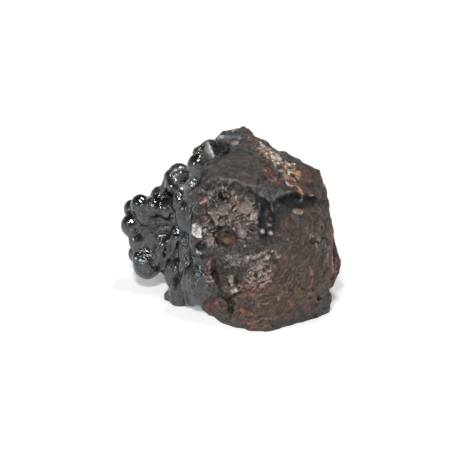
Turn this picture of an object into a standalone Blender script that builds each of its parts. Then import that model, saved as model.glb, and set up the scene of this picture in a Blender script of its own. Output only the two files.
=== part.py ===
"""A hematite specimen: a lump of massive ore whose left and back sides carry a crust of rounded lobes.

The front, the top and the right side are broken faces. The crust ends at the front's left edge, and a
low shelf behind that edge carries a cluster of whole lobes. The stone grew as one piece, so it is one
solid. It stands on a flat broken across its underside, at z = 0, with the front face towards -Y and
the cluster towards -X.
"""

import itertools
import math
import random

import bmesh
import bpy
import numpy as np
from mathutils import Vector, noise
from mathutils.bvhtree import BVHTree

MM = 0.001
NAME = "hematite_specimen"

# Driving dimensions, in millimetres
FUSE_STEP = 0.8  # spacing of the even skin that the lumps are fused into
FLAT_LEVEL = 0.5  # height of the break across the underside, above the lowest lumps
TRIANGLES = 9600  # asked for before the underside is broken flat
SHARP = math.radians(50)

# The front is drawn on a plane that leans back, and the top on the plan. Each has the directions
# across, up and out, and both are measured from MIDDLE
LEAN = math.radians(25)
FRONT = np.array(
    ((1, 0, 0), (0, math.sin(LEAN), math.cos(LEAN)), (0, -math.cos(LEAN), math.sin(LEAN)))
)
PLAN = np.eye(3)
MIDDLE = np.array((0, 0, 28))
WAYS = np.array([way for way in itertools.product((-1, 0, 1), repeat=3) if any(way)])

# Corners of the broken block, (x, y, z)
BLOCK = (
    (2.7, -20, -2),
    (6.6, -22, -2),
    (10.6, -21.8, -2),
    (18.4, -19, -2),
    (27.5, -11.5, -2),
    (33.5, -8, -2),
    (-1.3, -17, -2),
    (-4.7, -12, -2),
    (-9.5, -6, -2),
    (34, -8.5, 5.5),
    (33.5, -9, 24.5),
    (33.6, -6, 35),
    (33.3, -4.5, 39.5),
    (31.1, -3, 43.5),
    (22.9, -8, 45.5),
    (13, -11.5, 47),
    (1.6, -7, 49.5),
    (-4.9, -5, 48.6),
    (-9.9, -5, 45),
    (-13, -5, 39),
    (-13.5, -6, 28.5),
    (-13.4, -6.5, 20.4),
    (4.5, 24, 56.3),
    (9.3, 22, 52.4),
    (14.5, 20, 50.4),
    (20.3, 18, 48.4),
    (24, 15, 47.3),
    (29.5, 10, 45.7),
    (0, 22, 55.6),
    (-4, 17, 54),
    (-8, 11, 51),
    (-8.6, 4, 51),
    (32, 22, 28),
    (30, 27, 3),
    (8, 33, 36),
    (4, 33, -2),
    (-12, 28, 38),
    (-14, 29, -2),
    (26, 24, -2),
)

# The low shelf behind the block's left edge
SHELF = (
    (-10, 2, -2),
    (-12, 4, 30),
    (-14, 10, 36),
    (-15, 20, 38),
    (-28, 18, 28),
    (-31, 18, 9),
    (-25, 14, 4),
    (-16, 8, -2),
    (-27, 27, 25),
    (-25, 28, 4),
    (-8, 31, 36),
    (-6, 31, -2),
    (-20, 27, -2),
)

# The slab that stands proud of the right side
FLAP = (
    (32, -1, 4),
    (36.2, 3, 5),
    (37.6, 4, 9),
    (37.9, 4.5, 12.5),
    (36.6, 5, 17),
    (35.9, 6, 20),
    (35.2, 8, 25),
    (33, 10, 30),
    (32, 12, 3),
    (35.5, 13, 12),
    (33, 14, 24),
    (30, 4, 2),
)

# The crest between the scooped lobe and the peak
CREST = (
    (-5, 18, 54.2),
    (-2.4, 20, 56.3),
    (0.7, 21.5, 56.2),
    (4.5, 24, 56.2),
    (-6.5, 12.5, 53.5),
    (-1, 14, 54.3),
    (1.5, 15, 54.4),
    (-4.6, 13, 50),
    (-5, 20, 50),
    (2, 26, 52),
)

# Lobes in groups, each lobe (x, y, z, radius, height over width). First those of the left edge
RIM_LOBES = (
    (-10.9, 4.5, 49, 3.9, 1.25),
    (-12.8, 1.5, 41.1, 3.3, 1.55),
    (-15.1, 0.8, 32.7, 3.9, 1.6),
    (-8.6, 0, 27.5, 6, 1.6),
    (-9, 6, 44, 5.5, 1),
    (-10.8, 11, 51.3, 2.4, 1),
    (-6.9, 12.5, 51.3, 4.3, 1),
    (-5.8, 16.8, 47, 5.4, 1),
)

# The foot under them
FOOT_LOBES = (
    (-15, 1.5, 19.1, 3.3, 2),
    (-15.2, -0.5, 13.5, 2.9, 2.1),
    (-13.4, -3.2, 8.2, 4.2, 1.9),
    (-9.6, -5, 10, 5.6, 1.5),
    (-6.2, -6.2, 9.5, 5.7, 1.6),
    (-4.6, -6.6, 5.6, 5.9, 1.3),
    (-19.9, 3.2, 9.3, 3.4, 1.6),
    (-17.6, -0.4, 3.1, 4, 1.7),
    (-21.6, 1.6, 1.4, 1.9, 1.2),
)

# The cluster on the shelf
CLUSTER_LOBES = (
    (-34.9, 20, 26.5, 3.1, 1.2),
    (-31.6, 15.6, 30.2, 3.6, 1.05),
    (-27, 13.1, 30.4, 3.4, 1.15),
    (-24.8, 18, 32.7, 3.4, 1),
    (-21.6, 12.5, 29.8, 3.5, 1.1),
    (-34.9, 15.5, 22.3, 3.9, 1.1),
    (-33, 13.6, 16.9, 3.1, 1.1),
    (-27, 12, 19.7, 2, 1),
    (-25.6, 11.2, 16.2, 1.9, 1.4),
    (-29.5, 12.2, 9.2, 5.4, 1.1),
    (-34.2, 16.5, 10.7, 2.4, 1.4),
    (-32, 11.2, 11.4, 3, 1),
    (-23.6, 11.5, 14, 4, 1.7),
)

# The slope between them
SLOPE = (
    (-33.5, 14.6, 25),
    (-20, 12.8, 25.5),
    (-34.6, 13.6, 20),
    (-19, 10.6, 20),
    (-31, 10.6, 11),
    (-20, 8.6, 11),
    (-24, 10.4, 7),
    (-32, 24, 24),
    (-18, 24, 24),
    (-30, 24, 9),
    (-18, 24, 9),
)

# The smoother lobes between the cluster and the rim
UPPER_LOBES = (
    (-18, 20, 39.7, 4.2, 1),
    (-20.4, 17.5, 39.9, 3, 1),
    (-19.4, 14.8, 37.6, 3.5, 1),
    (-20.8, 18, 36.7, 3.4, 1.05),
    (-22.2, 17, 35, 2.9, 1),
    (-16.9, 12, 37.1, 3.1, 1),
    (-17.6, 9.5, 33.5, 3, 1.2),
    (-18.6, 9.5, 17, 3.2, 2.4),
)

# How much of their radii each group shares as one solid core, (lobes, share)
GROUPS = (
    (RIM_LOBES, 0.25),
    (FOOT_LOBES, 0.35),
    (CLUSTER_LOBES, 0.2),
    (UPPER_LOBES, 0.3),
)
SHOWN_LOBES = RIM_LOBES + FOOT_LOBES + CLUSTER_LOBES + UPPER_LOBES

# The lobes that the front hides cover the left and back. Each is set by a look inwards at a point
CRUST_HEART = np.array((-4, 8, 22))
CRUST_FROM = math.radians(42)  # round from +X towards +Y
CRUST_TO = math.radians(200)
CRUST_LOW = -0.7  # sine of the steepest look down, and of the steepest look up
CRUST_HIGH = 0.85
CRUST_TRIES = 700
CRUST_SMALL = 2.2  # radii
CRUST_LARGE = 7.4
CRUST_APART = 0.62  # least distance between two lobes' middles, as a share of their radii together
CRUST_SUNK = 0.45  # share of a lobe's radius below the skin that carries it
CRUST_MARGIN = 2.1  # how far inside the front's outline a hidden lobe stays
CREASE_ROUNDS = 1  # rounds that fill the creases between lobes
SEED = 11

# Hollows and swells of the front, (across, up, half width, half height, turn, rise, wall).
# wall is 0 for a soft dish and near 1 for one with steep sides
FRONT_RELIEF = (
    (-0.7, 5, 11.5, 10, 0, -1.6, 0.2),
    (-1.8, -3, 4.2, 3.6, -15, -2.4, 0.5),
    (-1.2, -3.6, 2.2, 2.2, 0, 1.5, 0.3),
    (-10, -5.5, 3, 2.3, 20, -1.8, 0.4),
    (11.4, 2.2, 3.6, 8, 0, -2.2, 0.4),
    (10.5, -0.6, 1.2, 1.3, 0, 1, 0.2),
    (13, -1.2, 1.1, 1.2, 0, 1, 0.2),
    (12.6, 1.4, 0.9, 0.9, 0, 0.8, 0.2),
    (-1.5, -13.5, 6, 5, 25, -1.9, 0.1),
    (10.5, -13.5, 5.6, 4.6, 20, 1.5, 0.2),
    (11.5, -12.3, 1.3, 1, 0, -1.2, 0.3),
    (8.2, -15, 1, 0.9, 0, -1, 0.3),
    (0.7, -17.5, 1.5, 3, 8, 1.3, 0.3),
    (21.7, 5.9, 1.8, 0.9, 0, 0.7, 0.3),
    (27, -3.9, 1.8, 1.3, -20, -1, 0.3),
    (29.7, -23.2, 1.4, 1.1, 0, -1, 0.3),
    (-0.2, -26.8, 1.2, 1.2, 0, -0.9, 0.4),
    (5, -27.6, 3.4, 1.5, -20, 0.8, 0.2),
    (-2.6, 11.1, 2, 2.8, 0, -1.1, 0.3),
    (-12, -0.3, 1.7, 3, 0, 0.6, 0.5),
    (-11.4, -18.4, 6.2, 8.6, -4, 2, 0.3),
    (20, -8, 8, 7, -30, 0.9, 0),
    (19, -21, 9, 5, -20, 0.7, 0),
)

# Hollows and swells of the top, on the plan
TOP_RELIEF = (
    (-3.4, 11.3, 3.4, 4.8, 0, -2.6, 0.5),
    (2, 15, 1.8, 1.7, 15, -0.8, 0.5),
    (3, 2, 7, 8, -10, -1, 0),
    (14, 18.5, 5, 5, -30, -2.2, 0.2),
    (9.5, 22.5, 4, 4, -30, -1.8, 0.2),
    (18, 9, 7, 6, -35, 0.7, 0.1),
    (15, -2, 2.4, 2.4, 0, -1.1, 0.3),
    (20, -6, 6, 3, -10, 0.7, 0.1),
    (28, 4, 3, 5, 20, -0.8, 0.1),
)

# The overhanging ledge across the front's upper right, (across, up, how deep the hollow under it is)
LEDGE = (
    (4, 14.6, 0),
    (7.3, 12.7, 1.4),
    (10.7, 10.5, 2.8),
    (13.4, 9, 3),
    (15.5, 11.2, 3),
    (19, 12.3, 3),
    (23.3, 12, 2.8),
    (26.8, 11.5, 2),
    (29, 9.7, 0.8),
    (33, 9, 0.3),
)
LEDGE_LIP = 1.1
LEDGE_DROP = 7.5

# Raised rims and cracks of the front, each (half width, rise, points across and up)
LINES = (
    (0.9, 1, ((-13.9, 4), (-13.4, 8.6), (-12.8, 11.2), (-9.8, 14.4), (-6, 16.6), (-2.3, 16.8))),
    (0.9, 1, ((-2.3, 16.8), (1, 15.9), (4.3, 14.7), (6.9, 13.8))),
    (1, -0.8, ((-11.9, 7.6), (-10.9, 10.4), (-8.7, 12.5), (-5.5, 14.3), (-2.3, 14.6), (1, 13.7), (5, 12.2))),
    (0.8, 0.5, ((13.4, 9), (13.6, 5.6), (13.5, 4))),
    (0.8, -2, ((-5.4, -15), (-4, -18.3), (-2, -21.8), (0.7, -24.9))),
    (0.8, -1.3, ((-9.4, -9), (-6.2, -8.8), (-5.6, -12), (-5.4, -15))),
    (0.9, 0.6, ((3, -11), (8, -8.4), (12, -9.4), (14, -13))),
    (0.8, -0.9, ((16, 17.5), (22, 15.4), (29, 14.6))),
    (0.9, 0.5, ((-6, 1), (-3, -1), (2, 0.5), (6, -3))),
    (0.6, 0.5, ((-15.4, -12), (-16.8, -17), (-16.2, -22), (-15.2, -26))),
    (0.6, 0.5, ((-12.2, -10.2), (-13.4, -14), (-13.4, -20), (-12.2, -26))),
    (0.8, 0.5, ((-18.8, -3), (-20.8, -9), (-23.4, -14.5))),
    (0.8, 0.4, ((-21.4, -2), (-24.4, -8), (-26, -12))),
    (0.7, 0.5, ((-28, -1.6), (-24, 0.4), (-20.2, 0))),
    (0.7, 0.4, ((-29.5, 1.5), (-25, 2.6), (-20.4, 2.6))),
)

# Cosine to a view's out direction of a face that starts to be carved, and of one that is carved fully
SIDEWAYS = 0.05
FACING = 0.35

# Roughness of the broken faces, (size of the lumps, height)
ROUGHNESS = ((11, 0.9), (5, 0.45), (2.4, 0.18))


def clear_scene():
    for found in list(bpy.data.objects):
        bpy.data.objects.remove(found, do_unlink=True)


def add_hull(bm, corners):
    """The convex lump that has these corners."""
    made = [bm.verts.new(Vector(corner) * MM) for corner in corners]
    hull = bmesh.ops.convex_hull(bm, input=made)
    inside = [v for v in hull["geom_interior"] if isinstance(v, bmesh.types.BMVert)]
    bmesh.ops.delete(bm, geom=inside, context="VERTS")


def is_hidden(skin, middle, radius):
    """Whether a lobe there lies wholly behind the skin, seen from the front."""
    for i in range(12):
        turn = math.tau * i / 12
        aside = math.cos(turn) * FRONT[0] + math.sin(turn) * FRONT[1]
        edge = middle + (radius + CRUST_MARGIN) * aside
        if skin.ray_cast(Vector(edge) * MM, FRONT[2])[0] is None:
            return False
    return True


def hidden_lobes(bm):
    """Lobes of many sizes on the skin of bm, packed over the left and back."""
    skin = BVHTree.FromBMesh(bm)
    rng = random.Random(SEED)
    far = 100
    lobes = []
    for _ in range(CRUST_TRIES):
        turn = rng.uniform(CRUST_FROM, CRUST_TO)
        rise = rng.uniform(CRUST_LOW, CRUST_HIGH)
        level = math.sqrt(1 - rise * rise)
        look = np.array((math.cos(turn) * level, math.sin(turn) * level, rise))
        radius = CRUST_SMALL + (CRUST_LARGE - CRUST_SMALL) * rng.random() ** 1.5
        place, outward, _, _ = skin.ray_cast(Vector(CRUST_HEART + look * far) * MM, Vector(-look))
        middle = np.array(place) / MM - np.array(outward) * radius * CRUST_SUNK
        gaps = [math.dist(middle, lobe[:3]) - CRUST_APART * (radius + lobe[3]) for lobe in lobes]
        if min(gaps, default=1) > 0 and is_hidden(skin, middle, radius):
            lobes.append((*middle, radius, 1))
    return tuple(lobes)


def add_core(bm, lobes, share):
    """The convex lump that reaches to this share of every lobe's radius."""
    corners = []
    for *middle, radius, height in lobes:
        reach = radius * share * np.array((1, 1, height))
        corners += [middle + reach * way / np.linalg.norm(way) for way in WAYS]
    add_hull(bm, corners)


def add_lobe(bm, lobe, rings=3):
    x, y, z, radius, height = lobe
    made = bmesh.ops.create_icosphere(bm, subdivisions=rings, radius=radius * MM)["verts"]
    bmesh.ops.scale(bm, verts=made, vec=(1, 1, height))
    bmesh.ops.translate(bm, verts=made, vec=Vector((x, y, z)) * MM)


def fused(mesh, step):
    """The lumps in mesh as one even skin, with a point about every step millimetres."""
    holder = bpy.data.objects.new("lumps", mesh)
    bpy.context.scene.collection.objects.link(holder)
    skin = holder.modifiers.new("skin", "REMESH")
    skin.mode = "VOXEL"
    skin.voxel_size = step * MM
    graph = bpy.context.evaluated_depsgraph_get()
    made = bpy.data.meshes.new_from_object(holder.evaluated_get(graph))
    bpy.data.objects.remove(holder, do_unlink=True)
    bpy.data.meshes.remove(mesh)
    return made


def read_points(mesh):
    """Places in millimetres and normals of the mesh's points."""
    places = np.empty(len(mesh.vertices) * 3)
    mesh.vertices.foreach_get("co", places)
    normals = np.empty(len(mesh.vertices) * 3)
    mesh.vertex_normals.foreach_get("vector", normals)
    return places.reshape(-1, 3) / MM, normals.reshape(-1, 3)


def write_points(mesh, places):
    mesh.vertices.foreach_set("co", (places * MM).ravel())
    mesh.update()


def fill_creases(mesh, lobes):
    """Rounds out the creases between lobes, by moving points outwards towards their neighbours."""
    places, normals = read_points(mesh)
    on_crust = on_lobes(places, lobes)[:, None]
    ends = np.empty(len(mesh.edges) * 2, dtype=np.int32)
    mesh.edges.foreach_get("vertices", ends)
    start, end = ends.reshape(-1, 2).T
    here, there = np.concatenate((start, end)), np.concatenate((end, start))
    count = np.bincount(here, minlength=len(places))
    for _ in range(CREASE_ROUNDS):
        around = [np.bincount(here, places[there, i], len(places)) / count for i in range(3)]
        moves = (np.stack(around, axis=1) - places) / 2
        outward = (moves * normals).sum(axis=1, keepdims=True) > 0
        places = places + moves * outward * on_crust
    write_points(mesh, places)


def smooth_step(t):
    t = np.clip(t, 0, 1)
    return t * t * (3 - 2 * t)


def on_lobes(places, lobes):
    """1 where a point lies on a lobe's own surface, and 0 where it lies on broken rock."""
    nearest = np.full(len(places), 1e9)
    for x, y, z, radius, height in lobes:
        away = (places - (x, y, z)) / (1, 1, height)
        nearest = np.minimum(nearest, np.linalg.norm(away, axis=1) - radius)
    return 1 - smooth_step((nearest - 0.25) / 0.9)


def along(drawn, points):
    """Distance from each drawn place to a line through these points."""
    nearest = np.full(len(drawn), 1e9)
    for (x0, y0), (x1, y1) in zip(points, points[1:]):
        dx, dy = x1 - x0, y1 - y0
        a, b = drawn[:, 0] - x0, drawn[:, 1] - y0
        share = np.clip((a * dx + b * dy) / (dx * dx + dy * dy), 0, 1)
        nearest = np.minimum(nearest, np.hypot(a - share * dx, b - share * dy))
    return nearest


def spots(drawn, table):
    """How far the hollows and swells in this table lift each drawn place."""
    lift = np.zeros(len(drawn))
    for across, up, wide, high, turn, rise, wall in table:
        c, s = math.cos(math.radians(turn)), math.sin(math.radians(turn))
        a, b = drawn[:, 0] - across, drawn[:, 1] - up
        far = np.hypot((a * c + b * s) / wide, (b * c - a * s) / high)
        lift += rise * smooth_step((1 - far) / (1 - wall))
    return lift


def ledge(drawn):
    """The hollow under the ledge."""
    across, up, depth = zip(*LEDGE)
    below = np.interp(drawn[:, 0], across, up) - drawn[:, 1]
    under = smooth_step(below / LEDGE_LIP) * smooth_step((LEDGE_DROP - below) / (LEDGE_DROP - LEDGE_LIP))
    return -np.interp(drawn[:, 0], across, depth, left=0) * under


def carve(mesh, view, lifts):
    """Lifts the points that face this view, by the sum of lifts."""
    places, normals = read_points(mesh)
    drawn = (places - MIDDLE) @ view.T
    facing = smooth_step((normals @ view[2] - SIDEWAYS) / (FACING - SIDEWAYS))
    lift = sum(made(drawn) for made in lifts) * facing
    write_points(mesh, places + lift[:, None] * view[2])


def front_lines(drawn):
    return sum(rise * smooth_step(1 - along(drawn, points) / (2 * half)) for half, rise, points in LINES)


def roughen(mesh, broken):
    """Breaks up the broken faces with lumps of several sizes. The lobes stay smooth."""
    places, normals = read_points(mesh)
    height = np.zeros(len(places))
    for size, rise in ROUGHNESS:
        height += rise * np.array([noise.noise(Vector(p) / size) for p in places])
    write_points(mesh, places + normals * (height * broken)[:, None])


def break_flat(bm, level):
    """Breaks the stone off flat at this height and closes the cut."""
    geometry = bm.verts[:] + bm.edges[:] + bm.faces[:]
    cut = bmesh.ops.bisect_plane(
        bm, geom=geometry, dist=1e-7, plane_co=(0, 0, level * MM), plane_no=(0, 0, 1), clear_inner=True
    )
    rim = [e for e in cut["geom_cut"] if isinstance(e, bmesh.types.BMEdge)]
    bmesh.ops.edgeloop_fill(bm, edges=rim)
    bmesh.ops.triangulate(bm, faces=bm.faces[:])


def stand_in_middle(mesh):
    """Puts the middle of the stone's box above the origin, with the flat at z = 0."""
    places, _ = read_points(mesh)
    low, high = places.min(axis=0), places.max(axis=0)
    middle = (low + high) / 2
    write_points(mesh, places - (middle[0], middle[1], low[2]))


def stone():
    """The specimen's mesh, as one closed skin."""
    bm = bmesh.new()
    for corners in (BLOCK, SHELF, SLOPE, FLAP, CREST):
        add_hull(bm, corners)
    for lobes, share in GROUPS:
        add_core(bm, lobes, share)
    for lobe in SHOWN_LOBES:
        add_lobe(bm, lobe)
    hidden = hidden_lobes(bm)
    for lobe in hidden:
        add_lobe(bm, lobe)
    lobes = SHOWN_LOBES + hidden
    mesh = bpy.data.meshes.new(NAME)
    bm.to_mesh(mesh)
    bm.free()
    mesh = fused(mesh, FUSE_STEP)
    fill_creases(mesh, lobes)
    broken = 1 - on_lobes(read_points(mesh)[0], lobes)
    carve(mesh, FRONT, (lambda drawn: spots(drawn, FRONT_RELIEF), ledge, front_lines))
    carve(mesh, PLAN, (lambda drawn: spots(drawn, TOP_RELIEF),))
    roughen(mesh, broken)
    return mesh


def thinned(mesh, triangles):
    """The same skin with about this many triangles, the most where it bends."""
    holder = bpy.data.objects.new("fine", mesh)
    bpy.context.scene.collection.objects.link(holder)
    thin = holder.modifiers.new("thin", "DECIMATE")
    thin.ratio = triangles / (2 * len(mesh.polygons))
    graph = bpy.context.evaluated_depsgraph_get()
    made = bpy.data.meshes.new_from_object(holder.evaluated_get(graph))
    bpy.data.objects.remove(holder, do_unlink=True)
    return made


def ore():
    """Dark grey-brown hematite, part glossy crust and part dull fracture."""
    material = bpy.data.materials.new("massive_hematite")
    material.use_nodes = True
    surface = material.node_tree.nodes["Principled BSDF"]
    surface.inputs["Base Color"].default_value = (0.095, 0.08, 0.075, 1)
    surface.inputs["Metallic"].default_value = 0.35
    surface.inputs["Roughness"].default_value = 0.42
    return material


def main():
    clear_scene()
    mesh = thinned(stone(), TRIANGLES)
    bm = bmesh.new()
    bm.from_mesh(mesh)
    break_flat(bm, FLAT_LEVEL)
    bm.to_mesh(mesh)
    bm.free()
    stand_in_middle(mesh)
    mesh.shade_smooth()
    mesh.set_sharp_from_angle(angle=SHARP)
    mesh.materials.append(ore())
    specimen = bpy.data.objects.new(NAME, mesh)
    bpy.context.scene.collection.objects.link(specimen)


main()
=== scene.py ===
"""The looks of a hematite specimen: its fine surface, its colours, and a plain studio around it."""

import itertools
import math
import random

import bmesh
import bpy
import numpy as np
from mathutils import Euler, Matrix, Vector, noise
from mathutils.bvhtree import BVHTree
from mathutils.kdtree import KDTree


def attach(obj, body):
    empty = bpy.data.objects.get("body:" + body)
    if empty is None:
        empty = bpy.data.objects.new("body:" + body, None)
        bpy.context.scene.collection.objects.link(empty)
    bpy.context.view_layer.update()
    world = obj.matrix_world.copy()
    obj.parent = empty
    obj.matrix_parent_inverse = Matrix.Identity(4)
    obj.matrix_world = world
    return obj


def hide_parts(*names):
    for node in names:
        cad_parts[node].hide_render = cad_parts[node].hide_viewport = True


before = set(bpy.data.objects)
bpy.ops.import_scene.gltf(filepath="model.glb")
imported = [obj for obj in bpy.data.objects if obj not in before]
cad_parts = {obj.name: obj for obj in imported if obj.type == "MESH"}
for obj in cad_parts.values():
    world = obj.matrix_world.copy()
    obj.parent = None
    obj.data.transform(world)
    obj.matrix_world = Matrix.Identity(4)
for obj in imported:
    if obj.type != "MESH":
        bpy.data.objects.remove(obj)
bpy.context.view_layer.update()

MM = 0.001
NODE = "hematite_specimen"

# Driving dimensions, in millimetres
FUSE_STEP = 0.66  # spacing of the even skin that the lumps are fused into
FINE_CUTS = 1  # cuts of the skin's edges on the side with the fine marks
FINE_FACING = 0.05  # cosine to the front's out direction from which the skin is finer
FLAT_LEVEL = 0.5  # height at which the underside is broken off flat

# The front is drawn on a plane that leans back, and the top on the plan. Each has the directions
# across, up and out, and both are measured from MIDDLE
LEAN = math.radians(25)
FRONT = np.array(
    ((1, 0, 0), (0, math.sin(LEAN), math.cos(LEAN)), (0, -math.cos(LEAN), math.sin(LEAN)))
)
PLAN = np.eye(3)
MIDDLE = np.array((0, 0, 28))
EYE = 432  # distance from MIDDLE of the eye that sees the colour marks as they are drawn
FAR = 1e9  # further than any distance in the stone

# The directions from a cube's middle to its corners, edges and faces
WAYS = np.array([way for way in itertools.product((-1, 0, 1), repeat=3) if any(way)])

# Corners of the broken block, (x, y, z)
BLOCK = (
    (2.7, -20, -2),
    (6.6, -22, -2),
    (10.6, -21.8, -2),
    (18.4, -19, -2),
    (27.5, -11.5, -2),
    (33.5, -8, -2),
    (-1.3, -17, -2),
    (-4.7, -12, -2),
    (-9.5, -6, -2),
    (34, -8.5, 5.5),
    (33.5, -9, 24.5),
    (33.6, -6, 35),
    (33.3, -4.5, 39.5),
    (31.1, -3, 43.5),
    (22.9, -8, 45.5),
    (13, -11.5, 47),
    (1.6, -7, 49.5),
    (-4.9, -5, 48.6),
    (-9.9, -5, 45),
    (-13, -5, 39),
    (-13.5, -6, 28.5),
    (-13.4, -6.5, 20.4),
    (4.5, 24, 56.3),
    (9.3, 22, 52.4),
    (14.5, 20, 50.4),
    (20.3, 18, 48.4),
    (24, 15, 47.3),
    (29.5, 10, 45.7),
    (0, 22, 55.6),
    (-4, 17, 54),
    (-8, 11, 51),
    (-8.6, 4, 51),
    (32, 22, 28),
    (30, 27, 3),
    (8, 33, 36),
    (4, 33, -2),
    (-12, 28, 38),
    (-14, 29, -2),
    (26, 24, -2),
)

# The low shelf behind the block's left edge
SHELF = (
    (-10, 2, -2),
    (-12, 4, 30),
    (-14, 10, 36),
    (-15, 20, 38),
    (-28, 18, 28),
    (-31, 18, 9),
    (-25, 14, 4),
    (-16, 8, -2),
    (-27, 27, 25),
    (-25, 28, 4),
    (-8, 31, 36),
    (-6, 31, -2),
    (-20, 27, -2),
)

# The slab that stands proud of the right side
FLAP = (
    (32, -1, 4),
    (36.2, 3, 5),
    (37.6, 4, 9),
    (37.9, 4.5, 12.5),
    (36.6, 5, 17),
    (35.9, 6, 20),
    (35.2, 8, 25),
    (33, 10, 30),
    (32, 12, 3),
    (35.5, 13, 12),
    (33, 14, 24),
    (30, 4, 2),
)

# The crest between the scooped lobe and the peak
CREST = (
    (-5, 18, 54.2),
    (-2.4, 20, 56.3),
    (0.7, 21.5, 56.2),
    (4.5, 24, 56.2),
    (-6.5, 12.5, 53.5),
    (-1, 14, 54.3),
    (1.5, 15, 54.4),
    (-4.6, 13, 50),
    (-5, 20, 50),
    (2, 26, 52),
)

# Lobes in groups, each lobe (x, y, z, radius, height over width). First those of the left edge
RIM_LOBES = (
    (-10.9, 4.5, 49, 3.9, 1.25),
    (-12.8, 1.5, 41.1, 3.3, 1.55),
    (-15.1, 0.8, 32.7, 3.9, 1.6),
    (-8.6, 0, 27.5, 6, 1.6),
    (-9, 6, 44, 5.5, 1),
    (-10.8, 11, 51.3, 2.4, 1),
    (-6.9, 12.5, 51.3, 4.3, 1),
    (-5.8, 16.8, 47, 5.4, 1),
)

# The foot under them
FOOT_LOBES = (
    (-15, 1.5, 19.1, 3.3, 2),
    (-15.2, -0.5, 13.5, 2.9, 2.1),
    (-13.4, -3.2, 8.2, 4.2, 1.9),
    (-9.6, -5, 10, 5.6, 1.5),
    (-6.2, -6.2, 9.5, 5.7, 1.6),
    (-4.6, -6.6, 5.6, 5.9, 1.3),
    (-19.9, 3.2, 9.3, 3.4, 1.6),
    (-17.6, -0.4, 3.1, 4, 1.7),
    (-21.6, 1.6, 1.4, 1.9, 1.2),
)

# The cluster on the shelf
CLUSTER_LOBES = (
    (-34.9, 20, 26.5, 3.1, 1.2),
    (-31.6, 15.6, 30.2, 3.6, 1.05),
    (-27, 13.1, 30.4, 3.4, 1.15),
    (-24.8, 18, 32.7, 3.4, 1),
    (-21.6, 12.5, 29.8, 3.5, 1.1),
    (-34.9, 15.5, 22.3, 3.9, 1.1),
    (-33, 13.6, 16.9, 3.1, 1.1),
    (-27, 12, 19.7, 2, 1),
    (-25.6, 11.2, 16.2, 1.9, 1.4),
    (-29.5, 12.2, 9.2, 5.4, 1.1),
    (-34.2, 16.5, 10.7, 2.4, 1.4),
    (-32, 11.2, 11.4, 3, 1),
    (-23.6, 11.5, 14, 4, 1.7),
)

# The slope between them
SLOPE = (
    (-33.5, 14.6, 25),
    (-20, 12.8, 25.5),
    (-34.6, 13.6, 20),
    (-19, 10.6, 20),
    (-31, 10.6, 11),
    (-20, 8.6, 11),
    (-24, 10.4, 7),
    (-32, 24, 24),
    (-18, 24, 24),
    (-30, 24, 9),
    (-18, 24, 9),
)

# The smoother lobes between the cluster and the rim
UPPER_LOBES = (
    (-18, 20, 39.7, 4.2, 1),
    (-20.4, 17.5, 39.9, 3, 1),
    (-19.4, 14.8, 37.6, 3.5, 1),
    (-20.8, 18, 36.7, 3.4, 1.05),
    (-22.2, 17, 35, 2.9, 1),
    (-16.9, 12, 37.1, 3.1, 1),
    (-17.6, 9.5, 33.5, 3, 1.2),
    (-18.6, 9.5, 17, 3.2, 2.4),
)

# How much of their radii each group shares as one solid core, (lobes, share)
GROUPS = (
    (RIM_LOBES, 0.25),
    (FOOT_LOBES, 0.35),
    (CLUSTER_LOBES, 0.2),
    (UPPER_LOBES, 0.3),
)
SHOWN_LOBES = RIM_LOBES + FOOT_LOBES + CLUSTER_LOBES + UPPER_LOBES

# The lobes that the front hides cover the left and back. Each is set by a look inwards at a point
CRUST_HEART = np.array((-4, 8, 22))
CRUST_FROM = math.radians(42)  # round from +X towards +Y
CRUST_TO = math.radians(200)
CRUST_LOW = -0.7  # sine of the steepest look down, and of the steepest look up
CRUST_HIGH = 0.85
CRUST_TRIES = 700  # looks taken, of which most find their place taken
CRUST_SMALL = 2.2  # least radius, and largest
CRUST_LARGE = 7.4
CRUST_SKEW = 1.5  # the higher, the more of the lobes are small
CRUST_APART = 0.62  # least distance between two lobes' middles, as a share of their radii together
CRUST_SUNK = 0.45  # share of a lobe's radius below the skin that carries it
CRUST_MARGIN = 2.1  # how far inside the front's outline a hidden lobe stays
CRUST_SIDES = 12  # places round a hidden lobe at which that is tested
LOBE_RINGS = 4  # rounds of division of a lobe's sphere
SEED = 11

# Where the crust gives way to rock
LOBE_MARGIN = 0.25  # distance from a lobe's surface up to which the skin is still crust
LOBE_FADE = 0.9
LEFT_AND_BACK = np.array((-0.6, 0.8, 0))  # what the skin between lobes faces where it is crust too
BACK_FACING = 0.25  # cosine to it from which it is
BACK_FADE = 0.2
EDGE_FADE = 0.6  # width of the drawn edge

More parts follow.
